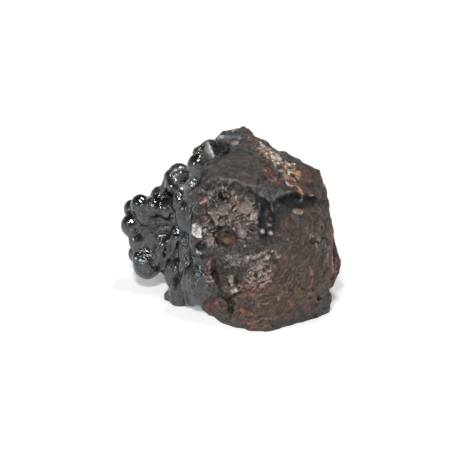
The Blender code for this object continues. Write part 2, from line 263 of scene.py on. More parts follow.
# Hollows and swells of the front, (across, up, half width, half height, turn, rise, wall).
# wall is 0 for a soft dish and near 1 for one with steep sides
FRONT_RELIEF = (
    (-0.7, 5, 11.5, 10, 0, -1.6, 0.2),
    (-1.8, -3, 4.2, 3.6, -15, -2.4, 0.5),
    (-1.2, -3.6, 2.2, 2.2, 0, 1.5, 0.3),
    (-10, -5.5, 3, 2.3, 20, -1.8, 0.4),
    (11.4, 2.2, 3.6, 8, 0, -2.2, 0.4),
    (10.5, -0.6, 1.2, 1.3, 0, 1, 0.2),
    (13, -1.2, 1.1, 1.2, 0, 1, 0.2),
    (12.6, 1.4, 0.9, 0.9, 0, 0.8, 0.2),
    (-1.5, -13.5, 6, 5, 25, -1.9, 0.1),
    (10.5, -13.5, 5.6, 4.6, 20, 1.5, 0.2),
    (11.5, -12.3, 1.3, 1, 0, -1.2, 0.3),
    (8.2, -15, 1, 0.9, 0, -1, 0.3),
    (0.7, -17.5, 1.5, 3, 8, 1.3, 0.3),
    (21.7, 5.9, 1.8, 0.9, 0, 0.7, 0.3),
    (27, -3.9, 1.8, 1.3, -20, -1, 0.3),
    (29.7, -23.2, 1.4, 1.1, 0, -1, 0.3),
    (-0.2, -26.8, 1.2, 1.2, 0, -0.9, 0.4),
    (5, -27.6, 3.4, 1.5, -20, 0.8, 0.2),
    (-2.6, 11.1, 2, 2.8, 0, -1.1, 0.3),
    (-12, -0.3, 1.7, 3, 0, 0.6, 0.5),
    (-11.4, -18.4, 6.2, 8.6, -4, 2, 0.3),
    (20, -8, 8, 7, -30, 0.9, 0),
    (19, -21, 9, 5, -20, 0.7, 0),
)

# Hollows and swells of the top, on the plan
TOP_RELIEF = (
    (-3.4, 11.3, 3.4, 4.8, 0, -2.6, 0.5),
    (2, 15, 1.8, 1.7, 15, -0.8, 0.5),
    (3, 2, 7, 8, -10, -1, 0),
    (14, 18.5, 5, 5, -30, -2.2, 0.2),
    (9.5, 22.5, 4, 4, -30, -1.8, 0.2),
    (18, 9, 7, 6, -35, 0.7, 0.1),
    (15, -2, 2.4, 2.4, 0, -1.1, 0.3),
    (20, -6, 6, 3, -10, 0.7, 0.1),
    (28, 4, 3, 5, 20, -0.8, 0.1),
)

# The overhanging ledge across the front's upper right, (across, up, how deep the hollow under it is)
LEDGE = (
    (4, 14.6, 0),
    (7.3, 12.7, 1.4),
    (10.7, 10.5, 2.8),
    (13.4, 9, 3),
    (15.5, 11.2, 3),
    (19, 12.3, 3),
    (23.3, 12, 2.8),
    (26.8, 11.5, 2),
    (29, 9.7, 0.8),
    (33, 9, 0.3),
)
LEDGE_LIP = 1.1  # from the ledge's edge down to the full depth
LEDGE_DROP = 7.5  # from the ledge's edge down to the hollow's end

# Raised rims and cracks of the front, each (half width, rise, points across and up)
LINES = (
    (0.9, 1, ((-13.9, 4), (-13.4, 8.6), (-12.8, 11.2), (-9.8, 14.4), (-6, 16.6), (-2.3, 16.8))),
    (0.9, 1, ((-2.3, 16.8), (1, 15.9), (4.3, 14.7), (6.9, 13.8))),
    (1, -0.8, ((-11.9, 7.6), (-10.9, 10.4), (-8.7, 12.5), (-5.5, 14.3), (-2.3, 14.6), (1, 13.7), (5, 12.2))),
    (0.8, 0.5, ((13.4, 9), (13.6, 5.6), (13.5, 4))),
    (0.8, -2, ((-5.4, -15), (-4, -18.3), (-2, -21.8), (0.7, -24.9))),
    (0.8, -1.3, ((-9.4, -9), (-6.2, -8.8), (-5.6, -12), (-5.4, -15))),
    (0.9, 0.6, ((3, -11), (8, -8.4), (12, -9.4), (14, -13))),
    (0.8, -0.9, ((16, 17.5), (22, 15.4), (29, 14.6))),
    (0.9, 0.5, ((-6, 1), (-3, -1), (2, 0.5), (6, -3))),
    (0.6, 0.5, ((-15.4, -12), (-16.8, -17), (-16.2, -22), (-15.2, -26))),
    (0.6, 0.5, ((-12.2, -10.2), (-13.4, -14), (-13.4, -20), (-12.2, -26))),
    (0.8, 0.5, ((-18.8, -3), (-20.8, -9), (-23.4, -14.5))),
    (0.8, 0.4, ((-21.4, -2), (-24.4, -8), (-26, -12))),
    (0.7, 0.5, ((-28, -1.6), (-24, 0.4), (-20.2, 0))),
    (0.7, 0.4, ((-29.5, 1.5), (-25, 2.6), (-20.4, 2.6))),
)

# Cosine to a view's out direction of a face that starts to be carved, and of one carved fully
SIDEWAYS = 0.05
FACING = 0.35

# Roughness of the broken faces and of the crust, (size of the lumps, height)
ROUGHNESS = ((11, 0.9), (5, 0.45), (2.4, 0.22))
FINE_ROUGHNESS = ((1.5, 0.19), (0.8, 0.12))
CRUST_ROUGHNESS = ((3.4, 0.12), (1.3, 0.02))
CREASE_ROUNDS = 5  # rounds that fill the creases between lobes
EVEN_ROUNDS = 2  # rounds that even all of the crust
HOLLOW_ROUNDS = 6  # rounds that show how hollow each point lies
HOLLOW_GAIN = 2.5  # what a millimetre of hollow adds to the value that the material reads

# The crust's right edge as it is seen, (across, up)
CRUST_EDGE = (
    (-11, -29),
    (-9.5, -25),
    (-6, -22),
    (-8.6, -18.6),
    (-9.8, -14.8),
    (-9.2, -12.4),
    (-8.8, -10.8),
    (-10.5, -9.9),
    (-13, -9),
    (-13.8, -6),
    (-14, -3),
    (-14.4, 3.3),
    (-12.3, 9.2),
    (-14.5, 12),
    (-10.6, 15.4),
    (-10, 19),
    (-8.4, 22.6),
    (-9.8, 24),
    (-10, 27),
    (-8.8, 29.6),
    (-7.6, 30.6),
    (-6.4, 33),
    (-5, 36),
)

# Where crystals show, as they are seen: (across, up, half width, half height, turn, strength)
CRYSTALS = (
    (-0.7, 4.4, 11.6, 8, 0, 1),
    (-7, -2, 4.4, 4.6, 0, 1),
    (3.4, -1.5, 3.6, 4.4, 20, 1),
    (9.2, -16.4, 5, 4.6, 15, 1),
    (8.8, -9.4, 5, 2.6, 15, 0.8),
    (1, -11, 3.6, 2.8, 0, 0.8),
    (0.8, -18.4, 2.4, 4.2, 0, 1),
    (-7.4, -15, 2, 5, 0, 0.8),
    (16.4, 21.6, 5.4, 5.6, -35, 0.6),
    (28.6, -3.8, 2.6, 1.9, -20, 0.8),
    (-3, 13, 9, 4, 0, 0.5),
)
PIT = (-1.4, -3.2, 4.6, 3.3, -15)  # the brown pit that they leave free, drawn the same way
CRYSTAL_EDGE = 1.1  # share of the way out from a spot's middle at which its crystals end
PIT_EDGE = 0.8  # share of the way out from the pit's middle at which crystals start
SPOT_FADE = 0.3  # share of the way out over which they do

FAN_CENTRE = (-1.2, 3.9)  # what the crystal blades spread from, across and up
BAND_CENTRE = (2, -3)  # what the growth bands run round

# Size and reach of the wavering of blades and bands, and of the edges of the crust, the crystals and
# the colour marks
BENT = (3.2, 1.5)
CRUST_WAVER = (1.4, 0.5)
CRYSTAL_WAVER = (2.6, 1.2)
MARK_WAVER = (1.3, 0.5)
FINE_WAVER = (0.6, 0.3)

# Crystal blades and grains, and chips of broken rock: (how many to a radian and to a millimetre
# outwards round their centre, height, slope of a face)
BLADES = (8, 0.3, 0.35, 0.5)
GRAINS = (13, 0.9, 0.22, 0.5)
CHIPS = (6, 0.6, 0.08, 0.12)
FAN_REACH = 13  # how far out the blades go before small grains take their place
FAN_FADE = 2  # width over which they do
CHIPS_REACH = 60  # how far out from their centre faces of each kind go
TOUCHED = 0.01  # cover from which a point belongs to a face

# Colours as a screen shows them, from 0 to 255
PALETTE = {
    "jet": (24, 25, 27),
    "soot": (42, 40, 40),
    "umber": (60, 47, 41),
    "brown": (104, 80, 64),
    "olive": (78, 78, 70),
    "slate": (70, 84, 93),
    "steel": (122, 128, 133),
    "ash": (106, 101, 97),
    "taupe": (124, 113, 104),
    "beige": (142, 124, 110),
    "rose": (166, 146, 137),
    "pale": (172, 164, 156),
    "white": (216, 211, 206),
    "cream": (222, 207, 190),
    "tan": (200, 150, 112),
    "ochre": (168, 116, 68),
    "orange": (204, 112, 60),
    "rust": (172, 90, 54),
    "sienna": (118, 74, 58),
    "oxblood": (98, 44, 36),
    "red": (152, 66, 52),
    "pink": (178, 126, 118),
}

# Broad patches as they are seen, each broken up into specks. The colour shows where lumps of a size
# rise above a level: (colour, strength, size, level, across, up, half width, half height, turn)
PATCHES = (
    ("soot", 0.6, 2, -0.3, -25, 0, 6.5, 4, 0),
    ("soot", 0.5, 2, -0.3, -21.5, -9, 3.5, 6, 0),
    ("brown", 0.38, 6, -0.4, 24, -8, 14, 22, 0),
    ("brown", 0.4, 4, -0.3, 12, -26, 20, 10, 10),
    ("umber", 0.6, 3, -0.3, -1, -14, 7, 6, 0),
    ("umber", 0.5, 3, -0.3, 18, 20, 11, 6, -40),
    ("olive", 0.3, 5, -0.1, 0, 20, 9, 6, 10),
    ("jet", 0.5, 1, 0.16, 8, -6, 26, 28, 0),
    ("rust", 0.1, 0.7, 0.25, 14, -22, 18, 12, 15),
    ("ochre", 0.1, 1.2, 0.25, 20, -16, 12, 12, 0),
    ("tan", 0.12, 0.5, 0.3, 12, -20, 20, 14, 10),
    # Painted shadow: dark specks under the ledge
    ("soot", 0.9, 3, -0.9, 22.4, 9.6, 8, 2.6, -3),
    ("jet", 0.35, 1, 0.15, -1, 3, 12, 9.5, 0),
    ("beige", 0.55, 0.9, 0.05, -1, 4.4, 10.5, 7, 0),
    ("pale", 0.4, 0.6, 0.25, 0, 2, 10, 8, 0),
    ("rose", 0.5, 1.6, -0.3, 9.4, -15.4, 5.4, 5, 15),
    ("pale", 0.4, 0.7, 0.2, 9, -14.4, 5, 5, 15),
    ("umber", 0.55, 1.3, 0.15, 9, -15, 6, 6, 15),
    ("pale", 0.35, 0.8, 0.1, 1, -11, 7, 3, 10),
    ("rose", 0.6, 0.8, 0.12, -8, -15, 2, 6, 0),
    ("jet", 0.7, 0.8, 0.15, -6, -15, 4, 9, 0),
    ("orange", 0.18, 0.6, 0.28, 7, -20, 7, 3, -5),
    ("jet", 0.8, 1, 0.1, 19, 19.5, 11, 5, -40),
    ("tan", 0.6, 0.8, 0.12, 19.5, 18.8, 6, 3, -42),
    ("cream", 0.9, 0.7, 0.1, 14, 24.6, 6.5, 2, -42),
    ("cream", 0.85, 0.7, 0.12, 20, 19, 4.5, 3, -40),
    ("tan", 0.4, 0.7, 0.2, 12.5, 25.5, 9, 3.4, -42),
    ("red", 0.35, 0.8, 0.15, 14, 18.3, 6, 2.4, -28),
    ("red", 0.35, 0.8, 0.15, 25.8, 17, 4, 4, 0),
    ("sienna", 0.5, 0.9, 0.1, 24, 19, 8, 4, -30),
)
PATCH_FADE = 0.35  # share of the way out over which a patch ends
SPECK_FADE = 0.2  # how far a lump rises from a speck's edge to its full colour
PATCH_SHIFT = 50  # how far apart the lumps of two patches are read

# Flat crystal faces as they are seen: (colour, strength, rise, slope across, slope up, corners)
FACETS = (
    (
        "taupe", 0.4, 0.1, 0.1, -0.3,
        ((-4.6, 8.7), (-1.9, 9.3), (-0.4, 8), (-1.5, 4.6), (-3.3, 4.2), (-4.4, 6)),
    ),
    ("beige", 0.6, 0.2, 0.2, -0.2, ((2, 6.4), (2.1, 8.7), (4.4, 9.6), (7.2, 9.1), (7.4, 6.9), (5.5, 4.7))),
    ("rose", 0.7, 0.3, 0.15, -0.35, ((6.6, 6), (8.7, 6.4), (10, 4.6), (9.1, 3.5), (6.4, 3))),
    ("beige", 0.6, 0.2, -0.3, -0.2, ((-6.9, 5.1), (-5.8, 5.8), (-4.6, 4.2), (-4.6, 1.9), (-5.8, 2.4))),
    ("beige", 0.6, 0.2, 0.2, -0.4, ((-4.4, 3), (-3, 3.9), (-2.1, 2.8), (-2.6, 0.8), (-3.9, 1))),
    ("taupe", 0.6, 0.2, -0.2, -0.3, ((-0.9, 5.5), (0.6, 6), (0.8, 4.2), (-0.1, 2.6), (-0.8, 3))),
    ("taupe", 0.45, 0.1, 0.35, -0.1, ((1.2, 0.6), (2.2, 2.8), (3.2, 2.2), (3.9, -2.6), (2.8, -3))),
    ("taupe", 0.45, 0.2, -0.1, -0.4, ((3.3, 2.8), (4.6, 2.6), (5.8, 0.4), (4.5, -3.4), (3.8, -1))),
    (
        "white", 1, 0.1, -0.2, -0.3,
        ((-13.1, 1.7), (-11.8, 2), (-10, 0.8), (-9.8, -2.8), (-11.4, -3), (-13.2, -1.7)),
    ),
    (
        "rose", 0.6, 0, 0.2, -0.2,
        ((-9.6, -3), (-7.1, -2.1), (-5.5, -3), (-6.1, -5.5), (-8, -5.5), (-9.6, -4.2)),
    ),
    ("pale", 0.9, 0.2, 0.2, -0.2, ((-9.4, 0.3), (-8.4, 0.1), (-8.7, -1), (-9.6, -0.8))),
    ("oxblood", 0.8, -0.2, 0.1, 0.3, ((-10.9, 4), (-9.1, 4), (-8.7, 2.4), (-10.5, 1.9))),
    ("umber", 0.8, 0, 0.2, -0.2, ((-11.8, 7.3), (-8.7, 7.8), (-8.2, 5.1), (-11.4, 4.6))),
    ("pale", 0.7, 0.2, 0.1, -0.2, ((-0.9, -15.2), (1, -15.1), (0.8, -17.1), (0.3, -18.9), (-0.8, -17.6))),
    ("pale", 0.7, 0.3, -0.1, -0.3, ((-0.1, -19.6), (1.7, -19.8), (2.1, -21.4), (0.4, -22.2), (-0.3, -21.2))),
    ("ash", 0.9, 0, 0.3, -0.1, ((-4.2, -19.4), (-2.7, -18.7), (-1.6, -21.3), (-3.3, -21.4))),
    ("pale", 0.7, 0.1, 0.1, -0.2, ((1.2, -10.5), (2.2, -12.2), (-0.3, -12.3))),
    ("beige", 1, 0.2, 0.1, -0.4, ((20.2, 6.3), (21.1, 7.1), (23.8, 7), (24.6, 5.9), (24, 4.9), (22, 5.2))),
    (
        "pale", 1, 0.3, 0.15, -0.3,
        ((-10, 27.5), (-8.1, 29.7), (-7.2, 29.3), (-5.4, 25), (-7.1, 23.9), (-9.4, 26.2)),
    ),
    ("pale", 0.8, 0, 0, 0.1, ((0.1, 30), (2.8, 30.3), (3.5, 29), (0.6, 28.4))),
    ("cream", 1, 0.2, 0, 0, ((15.2, 25.8), (16.1, 25.4), (17.3, 23.7), (16.5, 23), (15.2, 24.7))),
    ("tan", 1, 0.2, 0, 0, ((20.5, 19.8), (23.5, 19.9), (23.8, 17.8), (22.4, 18.3), (20.9, 19))),
)
FACET_FADE = 0.45  # width of a flat face's edge

# Colour marks as they are seen, among them painted highlights and painted shade, each painted over the ones
# before it:
# (colour, half width, strength, points across and up)
MARKS = (
    # The wrinkled upper lobe of the crust, and the lobes beside the front, with painted highlights along
    # their rims and painted shade in their creases
    ("steel", 3.3, 0.85, ((-17.4, 18.6), (-15.6, 16.6))),
    # Pale lines paint light on the wrinkles' ridges, and jet lines paint shade in their creases
    ("pale", 0.3, 0.6, ((-19.6, 19.6), (-17, 21.2), (-14.2, 20.6))),
    ("jet", 0.3, 0.6, ((-20, 18.4), (-17.2, 19.8), (-14, 19))),
    ("pale", 0.3, 0.4, ((-19.8, 17.2), (-17, 18.4), (-14.2, 17.4))),
    ("jet", 0.35, 0.6, ((-18.6, 15.6), (-16.4, 16.4), (-14.4, 15))),
    # Painted highlights: thin light lines along the rims of the lobes
    ("steel", 0.2, 0.5, ((-14.7, 19.6), (-14.5, 22.9), (-13.3, 25.3), (-11.4, 26.8))),
    ("steel", 0.2, 0.5, ((-16.2, 9.9), (-15.9, 12.8), (-14.7, 15.7), (-13.3, 17.1))),
    ("steel", 0.2, 0.5, ((-18.4, 6), (-17.6, 8), (-16.2, 9.7), (-13.8, 10.9))),
    ("steel", 0.2, 0.4, ((-18.7, -9.7), (-17.9, -6.8), (-16.5, -3.9), (-15.1, -1.9))),
    ("steel", 0.2, 0.5, ((-17.5, -16.4), (-16.5, -13), (-14.1, -11.1), (-10.2, -10.1))),
    ("steel", 0.2, 0.35, ((-15.5, -20.8), (-15.8, -16.4), (-14.6, -13))),
    ("steel", 0.2, 0.3, ((-13.6, -21.3), (-14.1, -17.9), (-13.6, -15))),
    # Painted shade: dark lines in the creases between the lobes
    ("jet", 0.25, 0.6, ((-20.9, -18.8), (-20.1, -16.7), (-18.4, -15.4), (-17.5, -15.9))),
    ("jet", 0.25, 0.6, ((-16, -25.1), (-16.5, -21.3), (-17.5, -17.9), (-17.2, -15.4))),
    ("jet", 0.3, 0.5, ((-20.6, 4.4), (-18.8, 6.2), (-17.4, 7.8))),
    # Painted shade over the upper part of the foot lobe and the middle of a rim lobe
    ("soot", 1.4, 0.6, ((-12.4, -12.6), (-13.2, -15.8))),
    ("soot", 1.2, 0.45, ((-16.4, 6.6), (-16.6, 3.4))),
    # A painted highlight on the foot lobe
    ("white", 0.35, 0.7, ((-10.7, -12.6), (-10.2, -14.2))),
    # The arc over the front and the lip of the ledge
    ("ash", 0.45, 0.6, ((-14.5, 11.8), (-10.3, 15), (-6.2, 17.2), (-2.4, 17.5), (1.2, 16.5), (7.1, 14.3))),
    # A painted highlight along the crust's edge beside the front
    ("steel", 0.35, 0.7, ((-11.8, 8.9), (-13.4, 6), (-14.2, 3.3), (-13.9, -0.6), (-13.9, -6.2))),
    ("steel", 0.3, 0.35, ((9.9, 12.3), (13.9, 11), (16.9, 12.3), (19.9, 12.6))),
    # A painted grey-blue sheen
    ("slate", 0.8, 0.35, ((6.2, 15.1), (9.6, 14.6))),
    # The hollow under the ledge, painted dark as the ledge's shadow, and the dark pocket with its beads
    # Painted shadow under the ledge
    ("jet", 2.4, 0.95, ((15.4, 6.4), (18.2, 8.4), (22.4, 9.4), (26.4, 9.8))),
    ("jet", 2, 0.95, ((16, 7.4), (19, 8))),
    ("jet", 1.2, 0.85, ((15.4, 4.4), (17.4, 5.2))),
    ("jet", 1.2, 0.3, ((20, 9.6), (25, 10.2))),
    ("soot", 1.7, 0.8, ((15.7, 3.4), (18.6, 6.2))),
    ("jet", 1.3, 0.8, ((15, 5), (15.4, 2.6), (15.4, 0.6), (14.4, -1.2))),
    ("soot", 1.3, 0.5, ((26, 9.6), (29.6, 9))),
    ("jet", 1.3, 0.9, ((9.2, 10), (9.8, 7), (10.2, 2.8), (10.7, -3.5))),
    ("jet", 1.8, 0.95, ((12, 8.6), (12.4, 2.8), (12.3, -4))),
    ("slate", 0.9, 0.25, ((11.6, -3.8), (12.6, -4.6))),
    ("slate", 0.45, 0.8, ((15.2, 9.2), (15.3, 6.8))),
    ("steel", 0.35, 0.9, ((24.2, 11.3), (23.6, 9.5))),
    # The pale beads, two of them with a painted highlight at the core
    ("pale", 1, 0.75, ((10.5, -0.6),)),
    ("white", 0.5, 0.6, ((10.5, -0.5),)),
    ("pale", 0.9, 0.7, ((13.3, -1.3),)),
    ("white", 0.4, 0.5, ((13.3, -1.1),)),
    ("pale", 0.7, 0.8, ((12.8, 1.4),)),
    ("ash", 0.8, 0.5, ((12.3, 5.5),)),
    ("steel", 0.2, 0.8, ((9.5, 8.9), (9.4, 6.7))),
    ("pink", 0.35, 0.5, ((13, 3.7), (13.8, 3.3))),
    ("beige", 0.22, 0.9, ((7.6, 13.2), (8.5, 12.3), (11.2, 10.9), (13.6, 9.3), (14.1, 6.4))),
    ("rust", 0.3, 0.7, ((16.1, 8.5),)),
    # The fan of crystals and what lies round it
    ("soot", 0.35, 0.6, ((-4.2, 3.7), (-2.4, 4.6), (-1.5, 4.2))),
    ("soot", 0.4, 0.7, ((3.3, 4.4), (4.9, 3.7), (5.8, 2.4))),
    ("jet", 0.4, 0.6, ((-7.6, 4.2), (-6.2, 2.4), (-5.1, 0.6))),
    ("umber", 2.8, 0.8, ((-2, -3.1),)),
    ("brown", 2, 0.85, ((-2.8, -2.9), (-0.2, -3.7))),
    ("jet", 0.6, 0.85, ((-5.8, -1.7), (-4.2, 0.1), (-1.5, 1), (0.8, -0.8), (1.7, -2.6))),
    ("jet", 0.35, 0.9, ((-6, -1.7), (-5.1, -3), (-3.9, -6))),
    ("olive", 0.8, 0.6, ((-1, -0.4), (0, -0.8))),
    ("beige", 0.45, 0.5, ((-1.9, -3.9),)),
    ("brown", 0.6, 0.7, ((-0.5, -4.9),)),
    ("sienna", 0.5, 0.6, ((1, -2.8), (0.3, -5.3))),
    ("oxblood", 0.4, 0.8, ((-13.2, -3.1), (-10.3, -4.2))),
    ("jet", 1.6, 0.85, ((-10.4, -5.3), (-9.4, -5.5))),
    ("sienna", 0.24, 0.8, ((-13, 0.7), (-11.2, 0.5))),
    ("sienna", 0.24, 0.8, ((-13, -0.7), (-11.2, -0.2))),
    ("white", 0.22, 0.7, ((-11.8, -6.5), (-11, -8.2), (-10.2, -8.3))),
    ("jet", 0.5, 0.8, ((-3.3, 13.2), (-3.6, 11.4), (-2.6, 10), (-1.5, 10.5))),
    ("beige", 0.3, 0.8, ((-1.8, 13.9), (-1.6, 11.8))),
    ("soot", 1.5, 0.7, ((-9, 14.8), (-7.8, 14.2))),
    ("white", 0.2, 0.9, ((-9.6, 13.6), (-8.9, 12.5))),
    # A painted pinkish highlight line
    ("pink", 0.35, 0.8, ((-10.4, 8.7), (-8.5, 9.9))),
    ("jet", 0.4, 0.8, ((-10.6, 8.1),)),
    ("pale", 0.25, 0.7, ((-7.7, 10.7), (-5.3, 9.9))),
    ("soot", 0.9, 0.6, ((-6.4, 8.6), (-5.2, 10.8))),
    ("rust", 0.4, 0.8, ((0.9, 10.4),)),
    ("rust", 0.4, 0.8, ((1.35, 8.8),)),
    ("rust", 0.3, 0.7, ((2.9, 8.2),)),
    ("orange", 0.3, 0.8, ((1, 0.6),)),
    ("pink", 0.5, 0.6, ((5.2, 13.5),)),
    ("beige", 0.3, 0.7, ((2.6, 12), (3.3, 11.2))),
    ("sienna", 0.7, 0.6, ((4.4, 11.8),)),
    ("olive", 0.6, 0.5, ((6, 12.4),)),
    # The smooth left foot and the broken crystals beside it
    ("oxblood", 0.9, 0.75, ((-8.1, -15.5), (-8, -10.8))),
    ("rose", 0.5, 0.7, ((-7.8, -11.7),)),
    ("rose", 0.5, 0.7, ((-7.9, -18.9),)),
    ("beige", 0.9, 0.5, ((-6, -17.6),)),
    ("umber", 1.2, 0.8, ((-2.6, -17), (-2.2, -18.4))),
    ("oxblood", 1.9, 0.6, ((-7.8, -25.2), (-6, -25.2))),
    ("pink", 0.8, 0.55, ((-4.8, -24.5),)),
    ("oxblood", 0.9, 0.6, ((-7.8, -25.5),)),
    ("pink", 0.5, 0.4, ((-6.4, -26.4),)),
    ("oxblood", 0.6, 0.8, ((-3.9, -27.4),)),
    ("jet", 0.5, 0.9, ((-4.6, -21.9), (-2.6, -23), (-1.2, -24.1), (-0.3, -25))),
    ("jet", 0.45, 0.9, ((2.8, -21.4), (1.2, -22.3), (-0.3, -23.4))),
    ("rose", 0.4, 0.7, ((-0.3, -25.8),)),
    ("jet", 0.85, 0.9, ((0, -27.5),)),
    ("ash", 0.3, 0.7, ((0.1, -27.6),)),
    ("jet", 0.5, 0.8, ((-0.5, -30),)),
    ("red", 0.5, 0.9, ((3.9, -31.2),)),
    ("sienna", 0.5, 0.8, ((1.7, -29.6),)),
    # The mauve crystals and the bands over them
    ("rose", 3.2, 0.35, ((8.6, -17), (10.8, -15))),
    ("pale", 0.5, 0.6, ((5.5, -9.7), (8.5, -9.5), (10.3, -8.1))),
    ("pale", 0.45, 0.5, ((6.7, -12.6), (9.4, -10.6), (13.2, -9.2))),
    ("umber", 0.4, 0.8, ((4.4, -14.2), (7.8, -11.5), (11.2, -9.2))),
    ("umber", 0.4, 0.6, ((4.6, -8.6), (7.6, -8), (9.4, -6.8))),
    ("jet", 0.6, 0.8, ((8.5, -15.7),)),
    ("jet", 0.8, 0.8, ((11.2, -14),)),
    ("jet", 0.6, 0.7, ((9.1, -18.9),)),
    ("white", 0.4, 0.5, ((13, -14.3),)),
    ("white", 0.5, 0.4, ((6.6, -17.6),)),
    ("white", 0.45, 0.4, ((10.6, -16.9),)),
    ("pale", 0.8, 0.5, ((-0.3, -9.4),)),
    # A painted gold-white highlight
    ("cream", 0.35, 0.9, ((14.1, -7.2),)),
    ("pale", 0.3, 0.8, ((15, -7), (15.9, -9.7), (16.7, -9))),
    ("ash", 0.5, 0.6, ((15.7, -8.1),)),
    ("sienna", 0.3, 0.7, ((13.9, -13.6), (13.6, -16.1))),
    ("pink", 0.6, 0.6, ((14.8, -12.3),)),
    # Rust along the foot
    ("orange", 0.35, 0.5, ((3.5, -19.3),)),
    ("rust", 0.3, 0.45, ((3.7, -20.3), (5.8, -21.6), (8.2, -21.9))),
    ("orange", 0.24, 0.6, ((9.1, -19.7), (10.5, -20.1))),
    ("rust", 0.35, 0.6, ((12.8, -18.7),)),
    ("sienna", 1.4, 0.6, ((3.3, -26.6), (5.4, -28))),
    ("rust", 0.4, 0.42, ((3, -27), (4.4, -28.6), (6.2, -29.3))),
    ("umber", 0.8, 0.9, ((5.8, -27),)),
    ("tan", 0.2, 0.4, ((6.7, -22.1), (10.7, -22.4))),
    ("tan", 0.2, 0.35, ((8.9, -25.5), (13.4, -24.6))),
    ("tan", 0.2, 0.3, ((5.8, -32.2), (11.2, -30), (14.3, -30.2))),
    ("rust", 0.25, 0.35, ((6.7, -33.4), (11.2, -32))),
    ("rust", 0.3, 0.35, ((9.6, -28.4), (14, -27.6))),
    ("ochre", 0.35, 0.7, ((19.3, -24.5), (21.1, -25.6))),
    ("tan", 0.4, 0.5, ((15.9, -23.5),)),
    ("rust", 0.5, 0.7, ((17.4, -28.8),)),
    ("rust", 0.5, 0.7, ((26.7, -21.5),)),
    ("pink", 0.45, 0.6, ((18.9, -21.7),)),
    ("pink", 0.4, 0.5, ((22.8, -17.9),)),
    ("tan", 0.4, 0.35, ((26.7, -12.8), (27.6, -14.8))),
    ("red", 0.6, 0.7, ((25.1, -25.8),)),
    ("oxblood", 0.75, 0.8, ((27.4, -25.1),)),
    ("red", 0.5, 0.6, ((26.9, -27.7),)),
    ("jet", 0.4, 0.85, ((19.9, -20.4), (20.8, -20.3))),
    ("jet", 0.5, 0.85, ((27.8, -20.2),)),
    ("jet", 0.5, 0.85, ((26.9, -23.4),)),
    ("jet", 0.5, 0.9, ((29.9, -22.4), (29.6, -23.5))),
    ("jet", 0.45, 0.9, ((31.6, -14.6),)),
    ("jet", 0.4, 0.9, ((33.9, -16.7),)),
    ("soot", 0.4, 0.7, ((22.9, -15.4),)),
    # The right side and its slab
    ("sienna", 0.8, 0.5, ((20.8, 4.7),)),
    ("sienna", 1.1, 0.4, ((17.7, 2),)),
    ("rose", 0.7, 0.35, ((16.1, -1.8),)),
    ("pale", 0.35, 0.8, ((18.9, -3.2),)),
    ("pink", 0.35, 0.6, ((20.6, -4.2),)),
    ("jet", 0.35, 0.8, ((28.2, -3), (29.6, -4.6))),
    ("beige", 0.3, 0.9, ((27.2, -2.1), (27.6, -3.6))),
    ("beige", 0.28, 0.9, ((28.3, -3.4), (28.9, -5.9))),
    ("beige", 0.28, 0.8, ((29, -3.2), (30.8, -4.7))),
    ("jet", 0.4, 0.8, ((31, -2.9), (32.3, -3.2))),
    ("jet", 0.4, 0.8, ((30.8, 0.6),)),
    ("jet", 0.35, 0.7, ((28.7, 2.3),)),
    # A painted highlight along the right edge
    ("ash", 0.3, 0.5, ((32.8, 10.1), (32.9, 2.3), (32.7, -4.5), (32.9, -15), (33.1, -19))),
    ("steel", 0.6, 0.4, ((31.9, -5.2), (32.6, -9))),
    ("sienna", 0.7, 0.6, ((33.9, 0.9), (33.9, -6.8))),
    ("oxblood", 2, 0.7, ((35.2, -9.5), (35.6, -17))),
    ("oxblood", 1.2, 0.6, ((34.8, -18), (36.6, -14))),
    ("rose", 0.25, 0.8, ((34.4, -8.6), (34.6, -14.7))),
    ("rose", 0.2, 0.7, ((35.4, -10.1), (35.5, -14.7))),
    ("red", 0.5, 0.8, ((33.5, -20.2),)),
    # The broken scoop and the smooth cap at the top's left
    ("soot", 1.9, 0.85, ((-4.2, 28), (-2, 27.8))),
    ("jet", 0.5, 0.7, ((-7, 29.7), (-5.7, 26.1), (-3.5, 24.6), (-0.4, 26.4))),
    ("ash", 0.25, 0.6, ((-1.7, 28.8), (-1.2, 26.6))),
    ("white", 0.4, 0.9, ((-7, 28), (-6.2, 24.6))),
    ("white", 0.9, 0.6, ((-7.2, 26), (-6.6, 25))),
    # Painted highlights: a white band and light lines on the smooth cap
    ("white", 0.4, 0.85, ((-5.1, 31.1), (-2.6, 31.5))),
    ("steel", 0.8, 0.6, ((-4, 31), (-2.2, 31.4), (3, 31.2))),
    ("pale", 0.5, 0.7, ((1.5, 34), (0.7, 33.6))),
    ("jet", 0.5, 0.8, ((-2.2, 32.6),)),
    ("rust", 0.4, 0.8, ((-1.7, 33.4),)),
    ("slate", 1.2, 0.6, ((-6.9, 22.1),)),
    ("olive", 1.8, 0.4, ((-12.3, 16.7),)),
    ("orange", 0.24, 0.7, ((0.1, 22.4),)),
    ("tan", 0.24, 0.5, ((5.6, 20.1),)),
    ("oxblood", 0.5, 0.6, ((2.8, 21.6),)),
    ("sienna", 0.5, 0.5, ((4.2, 16.9), (8.5, 16.4))),
    ("sienna", 1.6, 0.25, ((5, 32), (7, 30))),
    ("tan", 0.35, 0.6, ((6, 31.3),)),
    # The cream, tan and red patches of the top's right
    ("cream", 0.3, 0.9, ((9.9, 29.4), (10.1, 28.7), (11, 28.2))),
    ("tan", 0.35, 0.8, ((9.1, 27.5), (10.1, 27), (11.2, 26.4))),
    ("beige", 0.45, 0.8, ((11.7, 28.1), (12.6, 27.4))),
    ("white", 0.28, 0.8, ((12.1, 25.7),)),
    ("cream", 0.42, 0.95, ((13.4, 26), (13.7, 24.5), (15.2, 23.9))),
    ("cream", 0.32, 0.9, ((17.3, 22.6),)),
    ("cream", 0.3, 0.8, ((14.6, 23),)),
